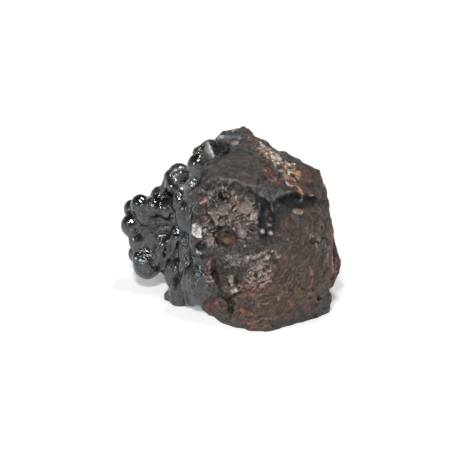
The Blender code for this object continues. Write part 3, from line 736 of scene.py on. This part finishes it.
    ("cream", 0.36, 0.9, ((18.4, 22.8), (19.2, 22), (21.1, 21.8), (21.5, 22))),
    ("tan", 0.4, 0.85, ((18.4, 21.5), (18.6, 20.6))),
    ("beige", 0.4, 0.8, ((14.8, 21.6), (15, 20.3))),
    ("jet", 0.5, 0.85, ((16.5, 20.9), (17.2, 21.4))),
    ("cream", 0.6, 0.75, ((19.9, 19.2),)),
    ("ochre", 0.4, 0.8, ((18.6, 19.2),)),
    ("steel", 0.35, 0.85, ((15.7, 19.4), (16.7, 20), (17.7, 19.4))),
    ("umber", 1, 0.8, ((16.7, 18.2),)),
    ("tan", 0.45, 0.9, ((18.2, 18.2), (19.4, 17.1))),
    ("ochre", 0.4, 0.9, ((19.9, 17.5), (21.1, 16.8))),
    ("jet", 0.45, 0.8, ((20.4, 18.4), (22, 17.3))),
    ("steel", 0.45, 0.6, ((17.7, 16.9),)),
    ("white", 0.33, 0.9, ((18.9, 15.9), (19.4, 15))),
    ("tan", 0.3, 0.8, ((19.9, 14.8), (22.4, 14.6), (24.1, 12.6))),
    ("tan", 0.28, 0.9, ((26.4, 11.6), (27.7, 11.3))),
    ("orange", 0.32, 0.8, ((24.1, 11.9),)),
    ("red", 0.4, 0.7, ((10.8, 19.9), (11.6, 18.8))),
    ("tan", 0.28, 0.8, ((12, 20),)),
    ("red", 0.3, 0.6, ((13.7, 18.8), (15, 18.2), (15.2, 16.7))),
    ("red", 0.45, 0.7, ((15.6, 16.1), (16.4, 15.4))),
    ("red", 0.4, 0.6, ((24.3, 17.1),)),
    ("pink", 0.6, 0.6, ((26.6, 16.1),)),
    ("red", 0.55, 0.5, ((25.6, 19),)),
    ("jet", 0.7, 0.9, ((11.5, 17.5),)),
    ("jet", 0.4, 0.8, ((9.3, 16.7),)),
    ("jet", 0.45, 0.9, ((27.5, 15.6), (28.1, 14.2))),
    ("jet", 0.4, 0.7, ((13.1, 16.3),)),
    ("umber", 0.8, 0.7, ((26.8, 20.7), (28.9, 19.4))),
    ("umber", 0.6, 0.7, ((28.5, 18),)),
)

# A mark's soft edge is MARK_FADE wide, and wider by MARK_SOFT times the mark's half width
MARK_FADE = 0.3
MARK_SOFT = 0.5

# How far the thin marks of a colour stand proud of the rock, or below it
PROUD = {"jet": -0.4, "soot": -0.15, "cream": 0.22, "tan": 0.15, "orange": 0.12, "white": 0.1, "steel": 0.1}
THIN = 1  # half width below which a mark is thin

# The studio, in metres
CAMERA_TARGET = Vector((-0.07, -7.64, 27.5)) * MM  # what the camera looks at, from EYE away
CAMERA_LENS = 100  # focal length in millimetres
LIGHT_TARGET = Vector((0, 0, 0.03))  # what the lights face
FLOOR_REACH = 1.5  # from the floor's middle to its sides


def placed(name, data):
    """A new object in the scene."""
    made = bpy.data.objects.new(name, data)
    bpy.context.scene.collection.objects.link(made)
    return made


def linear(red, green, blue):
    """A screen's colour, from 0 to 255, in the renderer's light."""
    return tuple(((c / 255 + 0.055) / 1.055) ** 2.4 for c in (red, green, blue))


def add_hull(bm, corners):
    """The convex lump that has these corners."""
    made = [bm.verts.new(Vector(corner) * MM) for corner in corners]
    hull = bmesh.ops.convex_hull(bm, input=made)
    inside = [v for v in hull["geom_interior"] if isinstance(v, bmesh.types.BMVert)]
    bmesh.ops.delete(bm, geom=inside, context="VERTS")


def is_hidden(skin, middle, radius):
    """Whether a lobe there lies wholly behind the skin, seen from the front."""
    for i in range(CRUST_SIDES):
        turn = math.tau * i / CRUST_SIDES
        aside = math.cos(turn) * FRONT[0] + math.sin(turn) * FRONT[1]
        edge = middle + (radius + CRUST_MARGIN) * aside
        if skin.ray_cast(Vector(edge) * MM, FRONT[2])[0] is None:
            return False
    return True


def hidden_lobes(bm):
    """Lobes of many sizes on the skin of bm, packed over the left and back."""
    skin = BVHTree.FromBMesh(bm)
    rng = random.Random(SEED)
    start = 100  # well outside the stone
    lobes = []
    for _ in range(CRUST_TRIES):
        turn = rng.uniform(CRUST_FROM, CRUST_TO)
        rise = rng.uniform(CRUST_LOW, CRUST_HIGH)
        level = math.sqrt(1 - rise * rise)
        look = np.array((math.cos(turn) * level, math.sin(turn) * level, rise))
        radius = CRUST_SMALL + (CRUST_LARGE - CRUST_SMALL) * rng.random() ** CRUST_SKEW
        place, outward, _, _ = skin.ray_cast(Vector(CRUST_HEART + look * start) * MM, Vector(-look))
        middle = np.array(place) / MM - np.array(outward) * radius * CRUST_SUNK
        gaps = [math.dist(middle, lobe[:3]) - CRUST_APART * (radius + lobe[3]) for lobe in lobes]
        if min(gaps, default=1) > 0 and is_hidden(skin, middle, radius):
            lobes.append((*middle, radius, 1))
    return tuple(lobes)


def add_core(bm, lobes, share):
    """The convex lump that reaches to this share of every lobe's radius."""
    corners = []
    for *middle, radius, height in lobes:
        reach = radius * share * np.array((1, 1, height))
        corners += [middle + reach * way / np.linalg.norm(way) for way in WAYS]
    add_hull(bm, corners)


def add_lobe(bm, lobe):
    """A round lobe that stands as high as its row says."""
    *middle, radius, height = lobe
    made = bmesh.ops.create_icosphere(bm, subdivisions=LOBE_RINGS, radius=radius * MM)["verts"]
    bmesh.ops.scale(bm, verts=made, vec=(1, 1, height))
    bmesh.ops.translate(bm, verts=made, vec=Vector(middle) * MM)


def lumps():
    """The overlapping lumps that the stone is fused from, and all its lobes."""
    bm = bmesh.new()
    for corners in (BLOCK, SHELF, SLOPE, FLAP, CREST):
        add_hull(bm, corners)
    for lobes, share in GROUPS:
        add_core(bm, lobes, share)
    for lobe in SHOWN_LOBES:
        add_lobe(bm, lobe)
    hidden = hidden_lobes(bm)
    for lobe in hidden:
        add_lobe(bm, lobe)
    mesh = bpy.data.meshes.new(NODE)
    bm.to_mesh(mesh)
    bm.free()
    return mesh, SHOWN_LOBES + hidden


def fused(mesh):
    """The lumps in mesh as one even skin."""
    holder = placed("lumps", mesh)
    skin = holder.modifiers.new("skin", "REMESH")
    skin.mode = "VOXEL"
    skin.voxel_size = FUSE_STEP * MM
    graph = bpy.context.evaluated_depsgraph_get()
    made = bpy.data.meshes.new_from_object(holder.evaluated_get(graph))
    bpy.data.objects.remove(holder, do_unlink=True)
    bpy.data.meshes.remove(mesh)
    return made


def cut_finer(mesh):
    """Cuts the skin finer where it faces the front."""
    bm = bmesh.new()
    bm.from_mesh(mesh)
    out = Vector(FRONT[2])
    near = [e for e in bm.edges if all(f.normal.dot(out) > FINE_FACING for f in e.link_faces)]
    bmesh.ops.subdivide_edges(bm, edges=near, cuts=FINE_CUTS, use_grid_fill=True)
    bm.to_mesh(mesh)
    bm.free()


def read_points(mesh):
    """Places in millimetres and normals of the mesh's points."""
    places = np.empty(len(mesh.vertices) * 3)
    mesh.vertices.foreach_get("co", places)
    normals = np.empty(len(mesh.vertices) * 3)
    mesh.vertex_normals.foreach_get("vector", normals)
    return places.reshape(-1, 3) / MM, normals.reshape(-1, 3)


def write_points(mesh, places):
    """Moves the mesh's points to these places, in millimetres."""
    mesh.vertices.foreach_set("co", (places * MM).ravel())
    mesh.update()


def eased(mesh, places, rounds, normals=None):
    """Places drawn halfway to the middle of their neighbours, this many times over.

    With normals, only the points that this moves outwards are moved, which fills creases.
    """
    ends = np.empty(len(mesh.edges) * 2, dtype=np.int32)
    mesh.edges.foreach_get("vertices", ends)
    start, end = ends.reshape(-1, 2).T
    here, there = np.concatenate((start, end)), np.concatenate((end, start))
    count = np.bincount(here, minlength=len(places))
    for _ in range(rounds):
        around = [np.bincount(here, places[there, i], len(places)) / count for i in range(3)]
        moves = (np.stack(around, axis=1) - places) / 2
        if normals is not None:
            moves *= ((moves * normals).sum(axis=1) > 0)[:, None]
        places = places + moves
    return places


def fill_creases(mesh, lobes):
    """Rounds out the creases between lobes, and evens the domes a little."""
    places, normals = read_points(mesh)
    cover = crust_cover(places, normals, lobes)[:, None]
    soft = eased(mesh, places, CREASE_ROUNDS, normals)
    soft = eased(mesh, soft, EVEN_ROUNDS)
    write_points(mesh, places + (soft - places) * cover)


def smooth_step(t):
    """0 up to t = 0 and 1 from t = 1 on, with a smooth rise between them."""
    t = np.clip(t, 0, 1)
    return t * t * (3 - 2 * t)


def past(depth, fade):
    """0 outside an edge and 1 inside it, with this width between them."""
    return smooth_step(depth / fade + 0.5)


def on_lobes(places, lobes):
    """1 where a point lies on a lobe's own surface, and 0 where it lies on broken rock."""
    nearest = np.full(len(places), FAR)
    for x, y, z, radius, height in lobes:
        away = (places - (x, y, z)) / (1, 1, height)
        nearest = np.minimum(nearest, np.linalg.norm(away, axis=1) - radius)
    return 1 - smooth_step((nearest - LOBE_MARGIN) / LOBE_FADE)


def along(drawn, points):
    """Distance from each drawn place to a line through these points, or to the only one."""
    nearest = np.full(len(drawn), FAR)
    for (x0, y0), (x1, y1) in zip(points, points[1:] or points):
        dx, dy = x1 - x0, y1 - y0
        a, b = drawn[:, 0] - x0, drawn[:, 1] - y0
        share = np.clip((a * dx + b * dy) / max(dx * dx + dy * dy, 1e-9), 0, 1)
        nearest = np.minimum(nearest, np.hypot(a - share * dx, b - share * dy))
    return nearest


def inside(drawn, corners):
    """How far inside the outline with these corners each drawn place lies."""
    depth = np.full(len(drawn), FAR)
    middle = np.mean(corners, axis=0)
    for (x0, y0), (x1, y1) in zip(corners, corners[1:] + corners[:1]):
        inward = np.array((y0 - y1, x1 - x0)) / math.hypot(x1 - x0, y1 - y0)
        inward *= math.copysign(1, (middle - (x0, y0)) @ inward)
        depth = np.minimum(depth, (drawn - (x0, y0)) @ inward)
    return depth


def from_middle(drawn, across, up, wide, high, turn):
    """Distance from a spot's middle to each drawn place, as a share of the way to its edge."""
    cosine, sine = math.cos(math.radians(turn)), math.sin(math.radians(turn))
    a, b = drawn[:, 0] - across, drawn[:, 1] - up
    return np.hypot((a * cosine + b * sine) / wide, (b * cosine - a * sine) / high)


def spots(drawn, table):
    """How far the hollows and swells in this table lift each drawn place."""
    lift = np.zeros(len(drawn))
    for *spot, rise, wall in table:
        lift += rise * smooth_step((1 - from_middle(drawn, *spot)) / (1 - wall))
    return lift


def ledge(drawn):
    """How far the hollow under the ledge lifts each drawn place, which is never upwards."""
    across, up, depth = zip(*LEDGE)
    below = np.interp(drawn[:, 0], across, up) - drawn[:, 1]
    under = smooth_step(below / LEDGE_LIP) * smooth_step((LEDGE_DROP - below) / (LEDGE_DROP - LEDGE_LIP))
    return -np.interp(drawn[:, 0], across, depth, left=0) * under


def front_lines(drawn):
    """How far the raised rims and cracks lift each drawn place."""
    return sum(rise * smooth_step(1 - along(drawn, points) / (2 * half)) for half, rise, points in LINES)


def drawn_on(places, view):
    """Places across, up and out from MIDDLE in this view."""
    return (places - MIDDLE) @ view.T


def seen(places):
    """Where the eye in front sees each place, across and up."""
    drawn = drawn_on(places, FRONT)
    return drawn[:, :2] * EYE / (EYE - drawn[:, 2:])


def turned_to(normals, view):
    """1 where a point faces this view, and 0 where it is sideways or turned away."""
    return smooth_step((normals @ view[2] - SIDEWAYS) / (FACING - SIDEWAYS))


def carve(mesh, view, lifts):
    """Lifts the points that face this view, by the sum of lifts."""
    places, normals = read_points(mesh)
    drawn = drawn_on(places, view)
    lift = sum(made(drawn) for made in lifts) * turned_to(normals, view)
    write_points(mesh, places + lift[:, None] * view[2])


def lumpy(places, layers):
    """Heights of lumps of several sizes."""
    height = np.zeros(len(places))
    for size, rise in layers:
        height += rise * np.array([noise.noise(Vector(p) / size) for p in places])
    return height


def waver(places, size, reach):
    """Small moves that make a mark's edge irregular."""
    return reach * np.array([noise.noise_vector(Vector(p) / size) for p in places])


def crust_cover(places, normals, lobes):
    """1 on the crust of lobes, and 0 on the broken faces."""
    turned_back = smooth_step((normals @ LEFT_AND_BACK - BACK_FACING) / BACK_FADE)
    behind = np.maximum(on_lobes(places, lobes), turned_back)
    across, up = zip(*CRUST_EDGE)
    where = seen(places + waver(places, *CRUST_WAVER))
    left = past(np.interp(where[:, 1], up, across) - where[:, 0], EDGE_FADE)
    front = turned_to(normals, FRONT)
    return behind * (1 - front) + left * front


def crystal_cover(drawn):
    """How far crystals take the place of massive rock."""
    cover = np.zeros(len(drawn))
    for *spot, strength in CRYSTALS:
        within = smooth_step((CRYSTAL_EDGE - from_middle(drawn, *spot)) / SPOT_FADE)
        cover = np.maximum(cover, strength * within)
    return cover * smooth_step((from_middle(drawn, *PIT) - PIT_EDGE) / SPOT_FADE)


def around(drawn, centre, turns, outward):
    """Guide places in which the ways round a centre and out from it are stretched on their own."""
    away = drawn[:, :2] - centre
    radius = np.linalg.norm(away, axis=1)[:, None]
    return np.hstack((away / np.maximum(radius, 0.01) * turns, radius * outward))


def chipped(places, normals, drawn, centre, chips, where):
    """Heights of flat faces set round a centre, each tilted its own way."""
    turns, outward, height, slope = chips
    rng = np.random.default_rng(SEED)
    rounds, rows = int(math.tau * turns), int(CHIPS_REACH * outward)
    spins = np.tile(np.arange(rounds), rows) + rng.random(rounds * rows)
    steps = np.repeat(np.arange(rows), rounds) + rng.random(rounds * rows)
    tree = KDTree(len(spins))
    for i, (spin, step) in enumerate(zip(spins, steps)):
        tree.insert((math.cos(spin / turns) * turns, math.sin(spin / turns) * turns, step), i)
    tree.balance()
    touched = np.flatnonzero(where > TOUCHED)
    guide = around(drawn[touched], centre, turns, outward)
    own = np.array([tree.find(place)[1] for place in guide])
    share = 1 / np.maximum(np.bincount(own, minlength=len(spins)), 1)
    middles, sides = (
        np.stack([np.bincount(own, values[touched, i], len(spins)) * share for i in range(3)], axis=1)
        for values in (places, normals)
    )
    tilts = np.cross(sides, rng.normal(size=sides.shape))
    tilts *= slope / np.maximum(np.linalg.norm(tilts, axis=1), 0.001)[:, None]
    lifts = rng.uniform(-height, height, len(spins))
    made = np.zeros(len(places))
    made[touched] = lifts[own] + ((places[touched] - middles[own]) * tilts[own]).sum(axis=1)
    return np.clip(made, -2 * height, 2 * height) * where


def flatten_facets(mesh):
    """Turns each drawn crystal face into a flat with its own slope, and gives each face's cover."""
    places, normals = read_points(mesh)
    facing = turned_to(normals, FRONT)
    covers = []
    for _, _, rise, slope_across, slope_up, corners in FACETS:
        where = seen(places)
        cover = past(inside(where, corners), FACET_FADE) * facing
        chosen = cover > 0.5
        sides = np.column_stack((where, np.ones(len(where))))
        out = drawn_on(places, FRONT)[:, 2]
        plane = np.linalg.lstsq(sides[chosen], out[chosen], rcond=None)[0]
        middle = where[chosen].mean(axis=0)
        target = sides @ plane + rise + (where - middle) @ (slope_across, slope_up)
        places += ((target - out) * cover)[:, None] * FRONT[2]
        covers.append(cover)
    write_points(mesh, places)
    return covers


class Paint:
    """Colour marks laid over each other on the mesh's points."""

    def __init__(self, count):
        self.colour = np.zeros((count, 3))
        self.cover = np.zeros(count)

    def lay(self, name, cover):
        """Paints a colour of the palette over what is there."""
        self.colour += (np.array(linear(*PALETTE[name])) - self.colour) * cover[:, None]
        self.cover += (1 - self.cover) * cover

    def keep(self, mesh):
        """Stores the marks on the mesh's points, with a plain colour where there is none."""
        share = np.maximum(self.cover, 0.001)[:, None]
        plain = linear(*PALETTE["ash"])
        colour = np.where(share > TOUCHED, np.clip(self.colour / share, 0, 1), plain)
        opaque = np.ones(len(colour))
        keep_values(mesh, "mark", self.cover)
        keep_values(mesh, "mark_colour", np.column_stack((colour, opaque)), "FLOAT_COLOR", "color")


def keep_values(mesh, name, values, kind="FLOAT", field="value"):
    """Stores values on the mesh's points, for the material to read."""
    kept = mesh.attributes.new(name, kind, "POINT")
    kept.data.foreach_set(field, values.astype(np.float32).ravel())


def patch_cover(places, where, patch, number):
    """How far a patch of specks covers each place."""
    size, level, *spot = patch
    cover = smooth_step((1 - from_middle(where, *spot)) / PATCH_FADE)
    inner = np.flatnonzero(cover)
    shift = Vector((0, 0, number * PATCH_SHIFT))
    height = np.array([noise.noise(Vector(p) / size + shift) for p in places[inner]])
    cover[inner] *= past(height - level, SPECK_FADE)
    return cover


def painted(mesh, facet_covers):
    """Lays the patches, the faces' colours and the marks, and moves the rock under each mark."""
    places, normals = read_points(mesh)
    facing = turned_to(normals, FRONT)
    where = seen(places + waver(places, *MARK_WAVER) + waver(places, *FINE_WAVER))
    paint = Paint(len(places))
    lift = np.zeros(len(places))
    for number, (name, strength, *patch) in enumerate(PATCHES):
        paint.lay(name, strength * patch_cover(places, where, patch, number) * facing)
    for (name, strength, *_), cover in zip(FACETS, facet_covers):
        paint.lay(name, strength * cover)
    for name, half, strength, points in MARKS:
        fade = MARK_FADE + MARK_SOFT * half
        cover = strength * past(half - along(where, points), fade) * facing
        paint.lay(name, cover)
        lift += PROUD.get(name, 0) * cover * (half < THIN)
    write_points(mesh, places + normals * lift[:, None])
    return paint


def break_flat(mesh):
    """Breaks the underside off flat and closes the cut."""
    bm = bmesh.new()
    bm.from_mesh(mesh)
    cut = bmesh.ops.bisect_plane(
        bm,
        geom=bm.verts[:] + bm.edges[:] + bm.faces[:],
        dist=1e-7,
        plane_co=(0, 0, FLAT_LEVEL * MM),
        plane_no=(0, 0, 1),
        clear_inner=True,
    )
    rim = [e for e in cut["geom_cut"] if isinstance(e, bmesh.types.BMEdge)]
    bmesh.ops.edgeloop_fill(bm, edges=rim)
    bm.to_mesh(mesh)
    bm.free()


def stand_in_middle(mesh):
    """Puts the middle of the stone's box above the origin, with the flat at z = 0."""
    places, _ = read_points(mesh)
    low, high = places.min(axis=0), places.max(axis=0)
    middle = (low + high) / 2
    write_points(mesh, places - (middle[0], middle[1], low[2]))


def stone():
    """The specimen's fine mesh, with the values that its material reads."""
    noise.seed_set(SEED)
    mesh, lobes = lumps()
    mesh = fused(mesh)
    fill_creases(mesh, lobes)
    if FINE_CUTS:
        cut_finer(mesh)
    places, normals = read_points(mesh)
    broken = 1 - on_lobes(places, lobes)
    crust = crust_cover(places, normals, lobes)
    carve(mesh, FRONT, (lambda drawn: spots(drawn, FRONT_RELIEF), ledge, front_lines))
    carve(mesh, PLAN, (lambda drawn: spots(drawn, TOP_RELIEF),))

    places, normals = read_points(mesh)
    write_points(mesh, places + normals * (lumpy(places, ROUGHNESS) * broken)[:, None])
    places, normals = read_points(mesh)
    drawn = drawn_on(places, FRONT) + waver(places, *BENT)
    rock = 1 - crust
    where = seen(places + waver(places, *CRYSTAL_WAVER))
    crystal = crystal_cover(where) * rock * turned_to(normals, FRONT)
    height = lumpy(places, FINE_ROUGHNESS) * rock + lumpy(places, CRUST_ROUGHNESS) * crust
    in_fan = past(FAN_REACH - np.linalg.norm(drawn[:, :2] - FAN_CENTRE, axis=1), FAN_FADE)
    height += chipped(places, normals, drawn, FAN_CENTRE, BLADES, crystal * in_fan)
    height += chipped(places, normals, drawn, FAN_CENTRE, GRAINS, crystal * (1 - in_fan))
    height += chipped(places, normals, drawn, BAND_CENTRE, CHIPS, rock * (1 - crystal))
    write_points(mesh, places + normals * height[:, None])
    paint = painted(mesh, flatten_facets(mesh))

    places, normals = read_points(mesh)
    hollow = ((eased(mesh, places, HOLLOW_ROUNDS) - places) * normals).sum(axis=1)
    keep_values(mesh, "drawn", drawn, "FLOAT_VECTOR", "vector")
    keep_values(mesh, "hollow", np.clip(0.5 + HOLLOW_GAIN * hollow, 0, 1))
    keep_values(mesh, "crust", crust)
    keep_values(mesh, "crystal", crystal)
    keep_values(mesh, "front", turned_to(normals, FRONT))
    paint.keep(mesh)

    break_flat(mesh)
    stand_in_middle(mesh)
    mesh.shade_smooth()
    return mesh


class Nodes:
    """Short ways to add nodes to a material or a world."""

    def __init__(self, owner):
        owner.use_nodes = True
        self.tree = owner.node_tree
        self.end = next(n for n in self.tree.nodes if n.type in ("BSDF_PRINCIPLED", "BACKGROUND"))

    def add(self, kind, inputs=None, **settings):
        """A new node, with values or links for its inputs."""
        node = self.tree.nodes.new(kind)
        for setting, value in settings.items():
            setattr(node, setting, value)
        for name, value in (inputs or {}).items():
            self.put(node.inputs[name], value)
        return node

    def put(self, socket, value):
        if isinstance(value, bpy.types.NodeSocket):
            self.tree.links.new(value, socket)
        else:
            socket.default_value = value

    def set(self, name, value):
        self.put(self.end.inputs[name], value)

    def kept(self, name, output="Fac"):
        """Values stored on the mesh's points."""
        return self.add("ShaderNodeAttribute", attribute_name=name).outputs[output]

    def places(self):
        return self.add("ShaderNodeTexCoord").outputs["Object"]

    def vector(self, operation, first, second=None, scale=None):
        node = self.add("ShaderNodeVectorMath", operation=operation)
        self.put(node.inputs[0], first)
        if second is not None:
            self.put(node.inputs[1], second)
        if scale is not None:
            self.put(node.inputs["Scale"], scale)
        return node.outputs["Value" if operation == "LENGTH" else "Vector"]

    def around(self, centre, turns, outward):
        """The same guide places as the function around gives."""
        away = self.vector("SUBTRACT", self.kept("drawn", "Vector"), (*centre, 0))
        flat = self.vector("MULTIPLY", away, (1, 1, 0))
        way = self.vector("SCALE", self.vector("NORMALIZE", flat), scale=turns)
        radius = self.maths("MULTIPLY", self.vector("LENGTH", flat), outward)
        depth = self.add("ShaderNodeCombineXYZ", {"Z": radius}).outputs["Vector"]
        return self.vector("ADD", way, depth)

    def cloud(self, places, scale, detail=4, rough=0.6, distortion=0):
        """Cloudy noise from 0 to 1."""
        inputs = {"Vector": places, "Scale": scale, "Detail": detail}
        inputs |= {"Roughness": rough, "Distortion": distortion}
        return self.add("ShaderNodeTexNoise", inputs).outputs["Fac"]

    def cells(self, places, scale):
        """One value from 0 to 1 for each cell."""
        cells = self.add("ShaderNodeTexVoronoi", {"Vector": places, "Scale": scale})
        return self.add("ShaderNodeSeparateColor", {"Color": cells.outputs["Color"]}).outputs["Red"]

    def ramp(self, value, *stops):
        """A colour or grey for each value, from (position, colour) stops."""
        node = self.add("ShaderNodeValToRGB", {"Fac": value})
        elements = node.color_ramp.elements
        while len(elements) < len(stops):
            elements.new(0.5)
        for element, (position, colour) in zip(elements, stops):
            element.position = position
            grey = isinstance(colour, (int, float))
            element.color = (colour, colour, colour, 1) if grey else (*colour, 1)
        return node.outputs["Color"]

    def tones(self, value, *stops):
        """A ramp from (position, red, green, blue) stops, in a screen's numbers."""
        return self.ramp(value, *((position, linear(*shown)) for position, *shown in stops))

    def maths(self, operation, first, second):
        node = self.add("ShaderNodeMath", operation=operation)
        self.put(node.inputs[0], first)
        self.put(node.inputs[1], second)
        return node.outputs["Value"]

    def mix(self, share, first, second, blend="MIX"):
        """Two colours mixed, or two numbers."""
        is_number = isinstance(first, (int, float)) or getattr(first, "type", "") == "VALUE"
        node = self.add("ShaderNodeMix", data_type="FLOAT" if is_number else "RGBA")
        if not is_number:
            node.blend_type = blend
        sockets = [s for s in node.inputs if s.enabled]
        for socket, value in zip(sockets, (share, first, second)):
            self.put(socket, (*value, 1) if isinstance(value, tuple) else value)
        return next(s for s in node.outputs if s.enabled)

    def bump(self, height, distance, normal=None):
        """A surface raised by height times distance, over the one that normal gives."""
        inputs = {"Height": height, "Distance": distance, "Strength": 1}
        if normal is not None:
            inputs["Normal"] = normal
        return self.add("ShaderNodeBump", inputs).outputs["Normal"]


def hematite():
    """Glossy gunmetal crust, and banded broken rock with crystals and coloured patches."""
    material = bpy.data.materials.new("massive_hematite")
    n = Nodes(material)
    crust, crystal, hollow = n.kept("crust"), n.kept("crystal"), n.kept("hollow")
    places = n.places()

    # Patterns of many sizes, their scales in lumps to a metre
    broad = n.cloud(places, 150, 4)
    mottle = n.cloud(places, 480, 6, 0.65, 0.4)
    speck = n.cloud(places, 2400, 4, 0.7)
    bands = n.cloud(n.around(BAND_CENTRE, 5, 1.1), 1, 6, 0.68, 0.5)
    streaks = n.cloud(n.around(BAND_CENTRE, 12, 2.8), 1, 4, 0.6, 0.4)
    blades = n.cells(n.around(FAN_CENTRE, 14, 0.8), 1)
    grit = n.cells(places, 1400)
    plain = n.cloud(places, 420, 6, 0.68, 0.5)
    banded = n.mix(0.3, n.mix(0.35, bands, streaks), plain)
    grain = n.mix(n.kept("front"), plain, banded)

    # Broken rock, brown and grey, with crystals in it
    brown = n.tones(
        grain,
        (0.34, 34, 29, 27),
        (0.48, 68, 59, 53),
        (0.58, 88, 76, 69),
        (0.7, 128, 106, 91),
    )
    grey = n.tones(
        grain,
        (0.34, 34, 34, 34),
        (0.5, 68, 67, 66),
        (0.7, 104, 102, 99),
    )
    rock = n.mix(n.ramp(broad, (0.42, 0.0), (0.6, 1.0)), brown, grey)
    facet = n.tones(
        n.mix(0.4, blades, grit),
        (0.15, 38, 33, 30),
        (0.42, 80, 71, 64),
        (0.68, 122, 110, 100),
        (0.9, 184, 172, 162),
    )
    rock = n.mix(n.maths("MULTIPLY", crystal, 0.85), rock, facet)

    # The painted marks, among them painted highlights and painted shade, and dark and light specks over
    # everything
    texture = n.mix(0.6, n.ramp(grain, (0.34, 0.5), (0.66, 1.3)), n.ramp(speck, (0.3, 0.5), (0.7, 1.4)))
    marked = n.mix(1, n.kept("mark_colour", "Color"), texture, "MULTIPLY")
    breaks = n.ramp(n.cloud(places, 1500, 3), (0.38, 0.55), (0.5, 1.0))
    mark = n.maths("MULTIPLY", n.kept("mark"), breaks)
    rock = n.mix(mark, rock, marked)
    rock = n.mix(1, rock, n.ramp(mottle, (0.3, 0.6), (0.5, 0.95), (0.7, 1.35)), "MULTIPLY")
    specks = n.ramp(n.cloud(places, 1100, 2), (0.29, 0.3), (0.36, 1.0), (0.64, 1.0), (0.72, 1.6))
    rock = n.mix(1, rock, specks, "MULTIPLY")

    # The crust, dusty in places, and painted shade in every hollow
    gunmetal = n.tones(
        n.mix(0.45, mottle, speck),
        (0.34, 54, 58, 60),
        (0.5, 84, 86, 86),
        (0.66, 114, 115, 113),
    )
    # The marks, among them painted highlights and painted shade, dull the crust as dust does
    dust_and_marks = n.maths("MAXIMUM", n.ramp(broad, (0.58, 0.0), (0.7, 0.4)), mark)
    gunmetal = n.mix(dust_and_marks, gunmetal, n.mix(mark, linear(88, 84, 79), marked))
    colour = n.mix(crust, rock, gunmetal)
    # Painted shade darkens the hollows of crust and rock, and ridges are lighter as wear
    hollow_shade_and_wear = n.ramp(hollow, (0.1, 1.5), (0.45, 1.0), (0.85, 0.4))
    n.set("Base Color", n.mix(1, colour, hollow_shade_and_wear, "MULTIPLY"))

    # Gloss
    n.set("Specular IOR Level", 0.4)
    n.set("Metallic", n.mix(crust, 0.15, n.mix(dust_and_marks, 1.0, 0.5)))
    dull = n.ramp(mottle, (0.3, 0.4), (0.7, 0.62))
    gloss = n.mix(dust_and_marks, n.ramp(mottle, (0.35, 0.1), (0.65, 0.2)), (0.32, 0.32, 0.32))
    n.set("Roughness", n.mix(crust, dull, gloss))

    # Relief too fine for the mesh: grain on the rock, ripples and tiny domes on the crust
    on_rock = n.maths("SUBTRACT", 1.0, crust)
    normal = n.bump(n.maths("MULTIPLY", grain, on_rock), 0.00018)
    normal = n.bump(n.maths("MULTIPLY", mottle, on_rock), 0.0007, normal)
    normal = n.bump(n.maths("MULTIPLY", speck, n.mix(crust, 1.0, 0.06)), 0.0002, normal)
    ripples = n.cloud(places, 420, 2, 0.4, 0.6)
    normal = n.bump(n.maths("MULTIPLY", ripples, crust), 0.00014, normal)
    sparkling = n.maths("MULTIPLY", n.ramp(n.cloud(places, 190, 2), (0.5, 0.0), (0.58, 1.0)), crust)
    domes = n.add("ShaderNodeTexVoronoi", {"Vector": places, "Scale": 1900}).outputs["Distance"]
    normal = n.bump(n.maths("MULTIPLY", domes, sparkling), 0.00015, normal)
    n.set("Normal", normal)
    return material


def floor():
    """A broad white sheet under the stone."""
    bm = bmesh.new()
    bmesh.ops.create_grid(bm, x_segments=1, y_segments=1, size=FLOOR_REACH)
    mesh = bpy.data.meshes.new("floor")
    bm.to_mesh(mesh)
    bm.free()
    material = bpy.data.materials.new("white_card")
    n = Nodes(material)
    tone = n.ramp(n.cloud(n.places(), 3), (0.3, 0.86), (0.7, 0.88))
    n.set("Base Color", tone)
    n.set("Roughness", 0.7)
    n.set("Emission Color", tone)
    n.set("Emission Strength", n.ramp(n.vector("LENGTH", n.places()), (0.15, 0.3), (0.7, 0.72)))
    mesh.materials.append(material)
    placed("floor", mesh)


def softbox(name, way, distance, size, power, colour=(1, 1, 1)):
    """A square light that far away in this direction, facing the stone."""
    light = bpy.data.lights.new(name, "AREA")
    light.size = size
    light.energy = power
    light.color = colour
    made = placed(name, light)
    made.location = LIGHT_TARGET + Vector(way).normalized() * distance
    made.rotation_euler = (LIGHT_TARGET - made.location).to_track_quat("-Z", "Y").to_euler()


def studio():
    """A white floor and horizon under a dark ceiling with three softboxes."""
    floor()
    softbox("key", (-0.1, -0.5, 0.87), 0.7, 0.12, 3)
    softbox("overhead", (0.15, 0.2, 0.95), 0.7, 0.1, 1.6)
    softbox("window", (-0.7, -0.56, 0.42), 0.8, 0.08, 1.2, (0.7, 0.87, 1))
    world = bpy.data.worlds.new("studio")
    bpy.context.scene.world = world
    n = Nodes(world)
    way = n.add("ShaderNodeTexCoord").outputs["Generated"]
    height = n.add("ShaderNodeSeparateXYZ", {"Vector": way}).outputs["Z"]
    n.set("Color", n.ramp(height, (0.12, 1.0), (0.36, 0.32), (0.85, 0.13)))
    n.set("Strength", 1.0)


def camera():
    """The camera in front of the stone, looking down as steeply as the front leans back."""
    data = bpy.data.cameras.new("camera")
    data.lens = CAMERA_LENS
    made = placed("camera", data)
    made.location = CAMERA_TARGET + Vector(FRONT[2]) * EYE * MM
    made.rotation_euler = Euler((math.pi / 2 - LEAN, 0, 0))
    bpy.context.scene.camera = made


def main():
    specimen = placed("hematite_stone", stone())
    specimen.data.materials.append(hematite())
    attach(specimen, "root")
    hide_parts(NODE)
    camera()
    studio()
    bpy.context.scene.view_settings.view_transform = "Standard"


main()
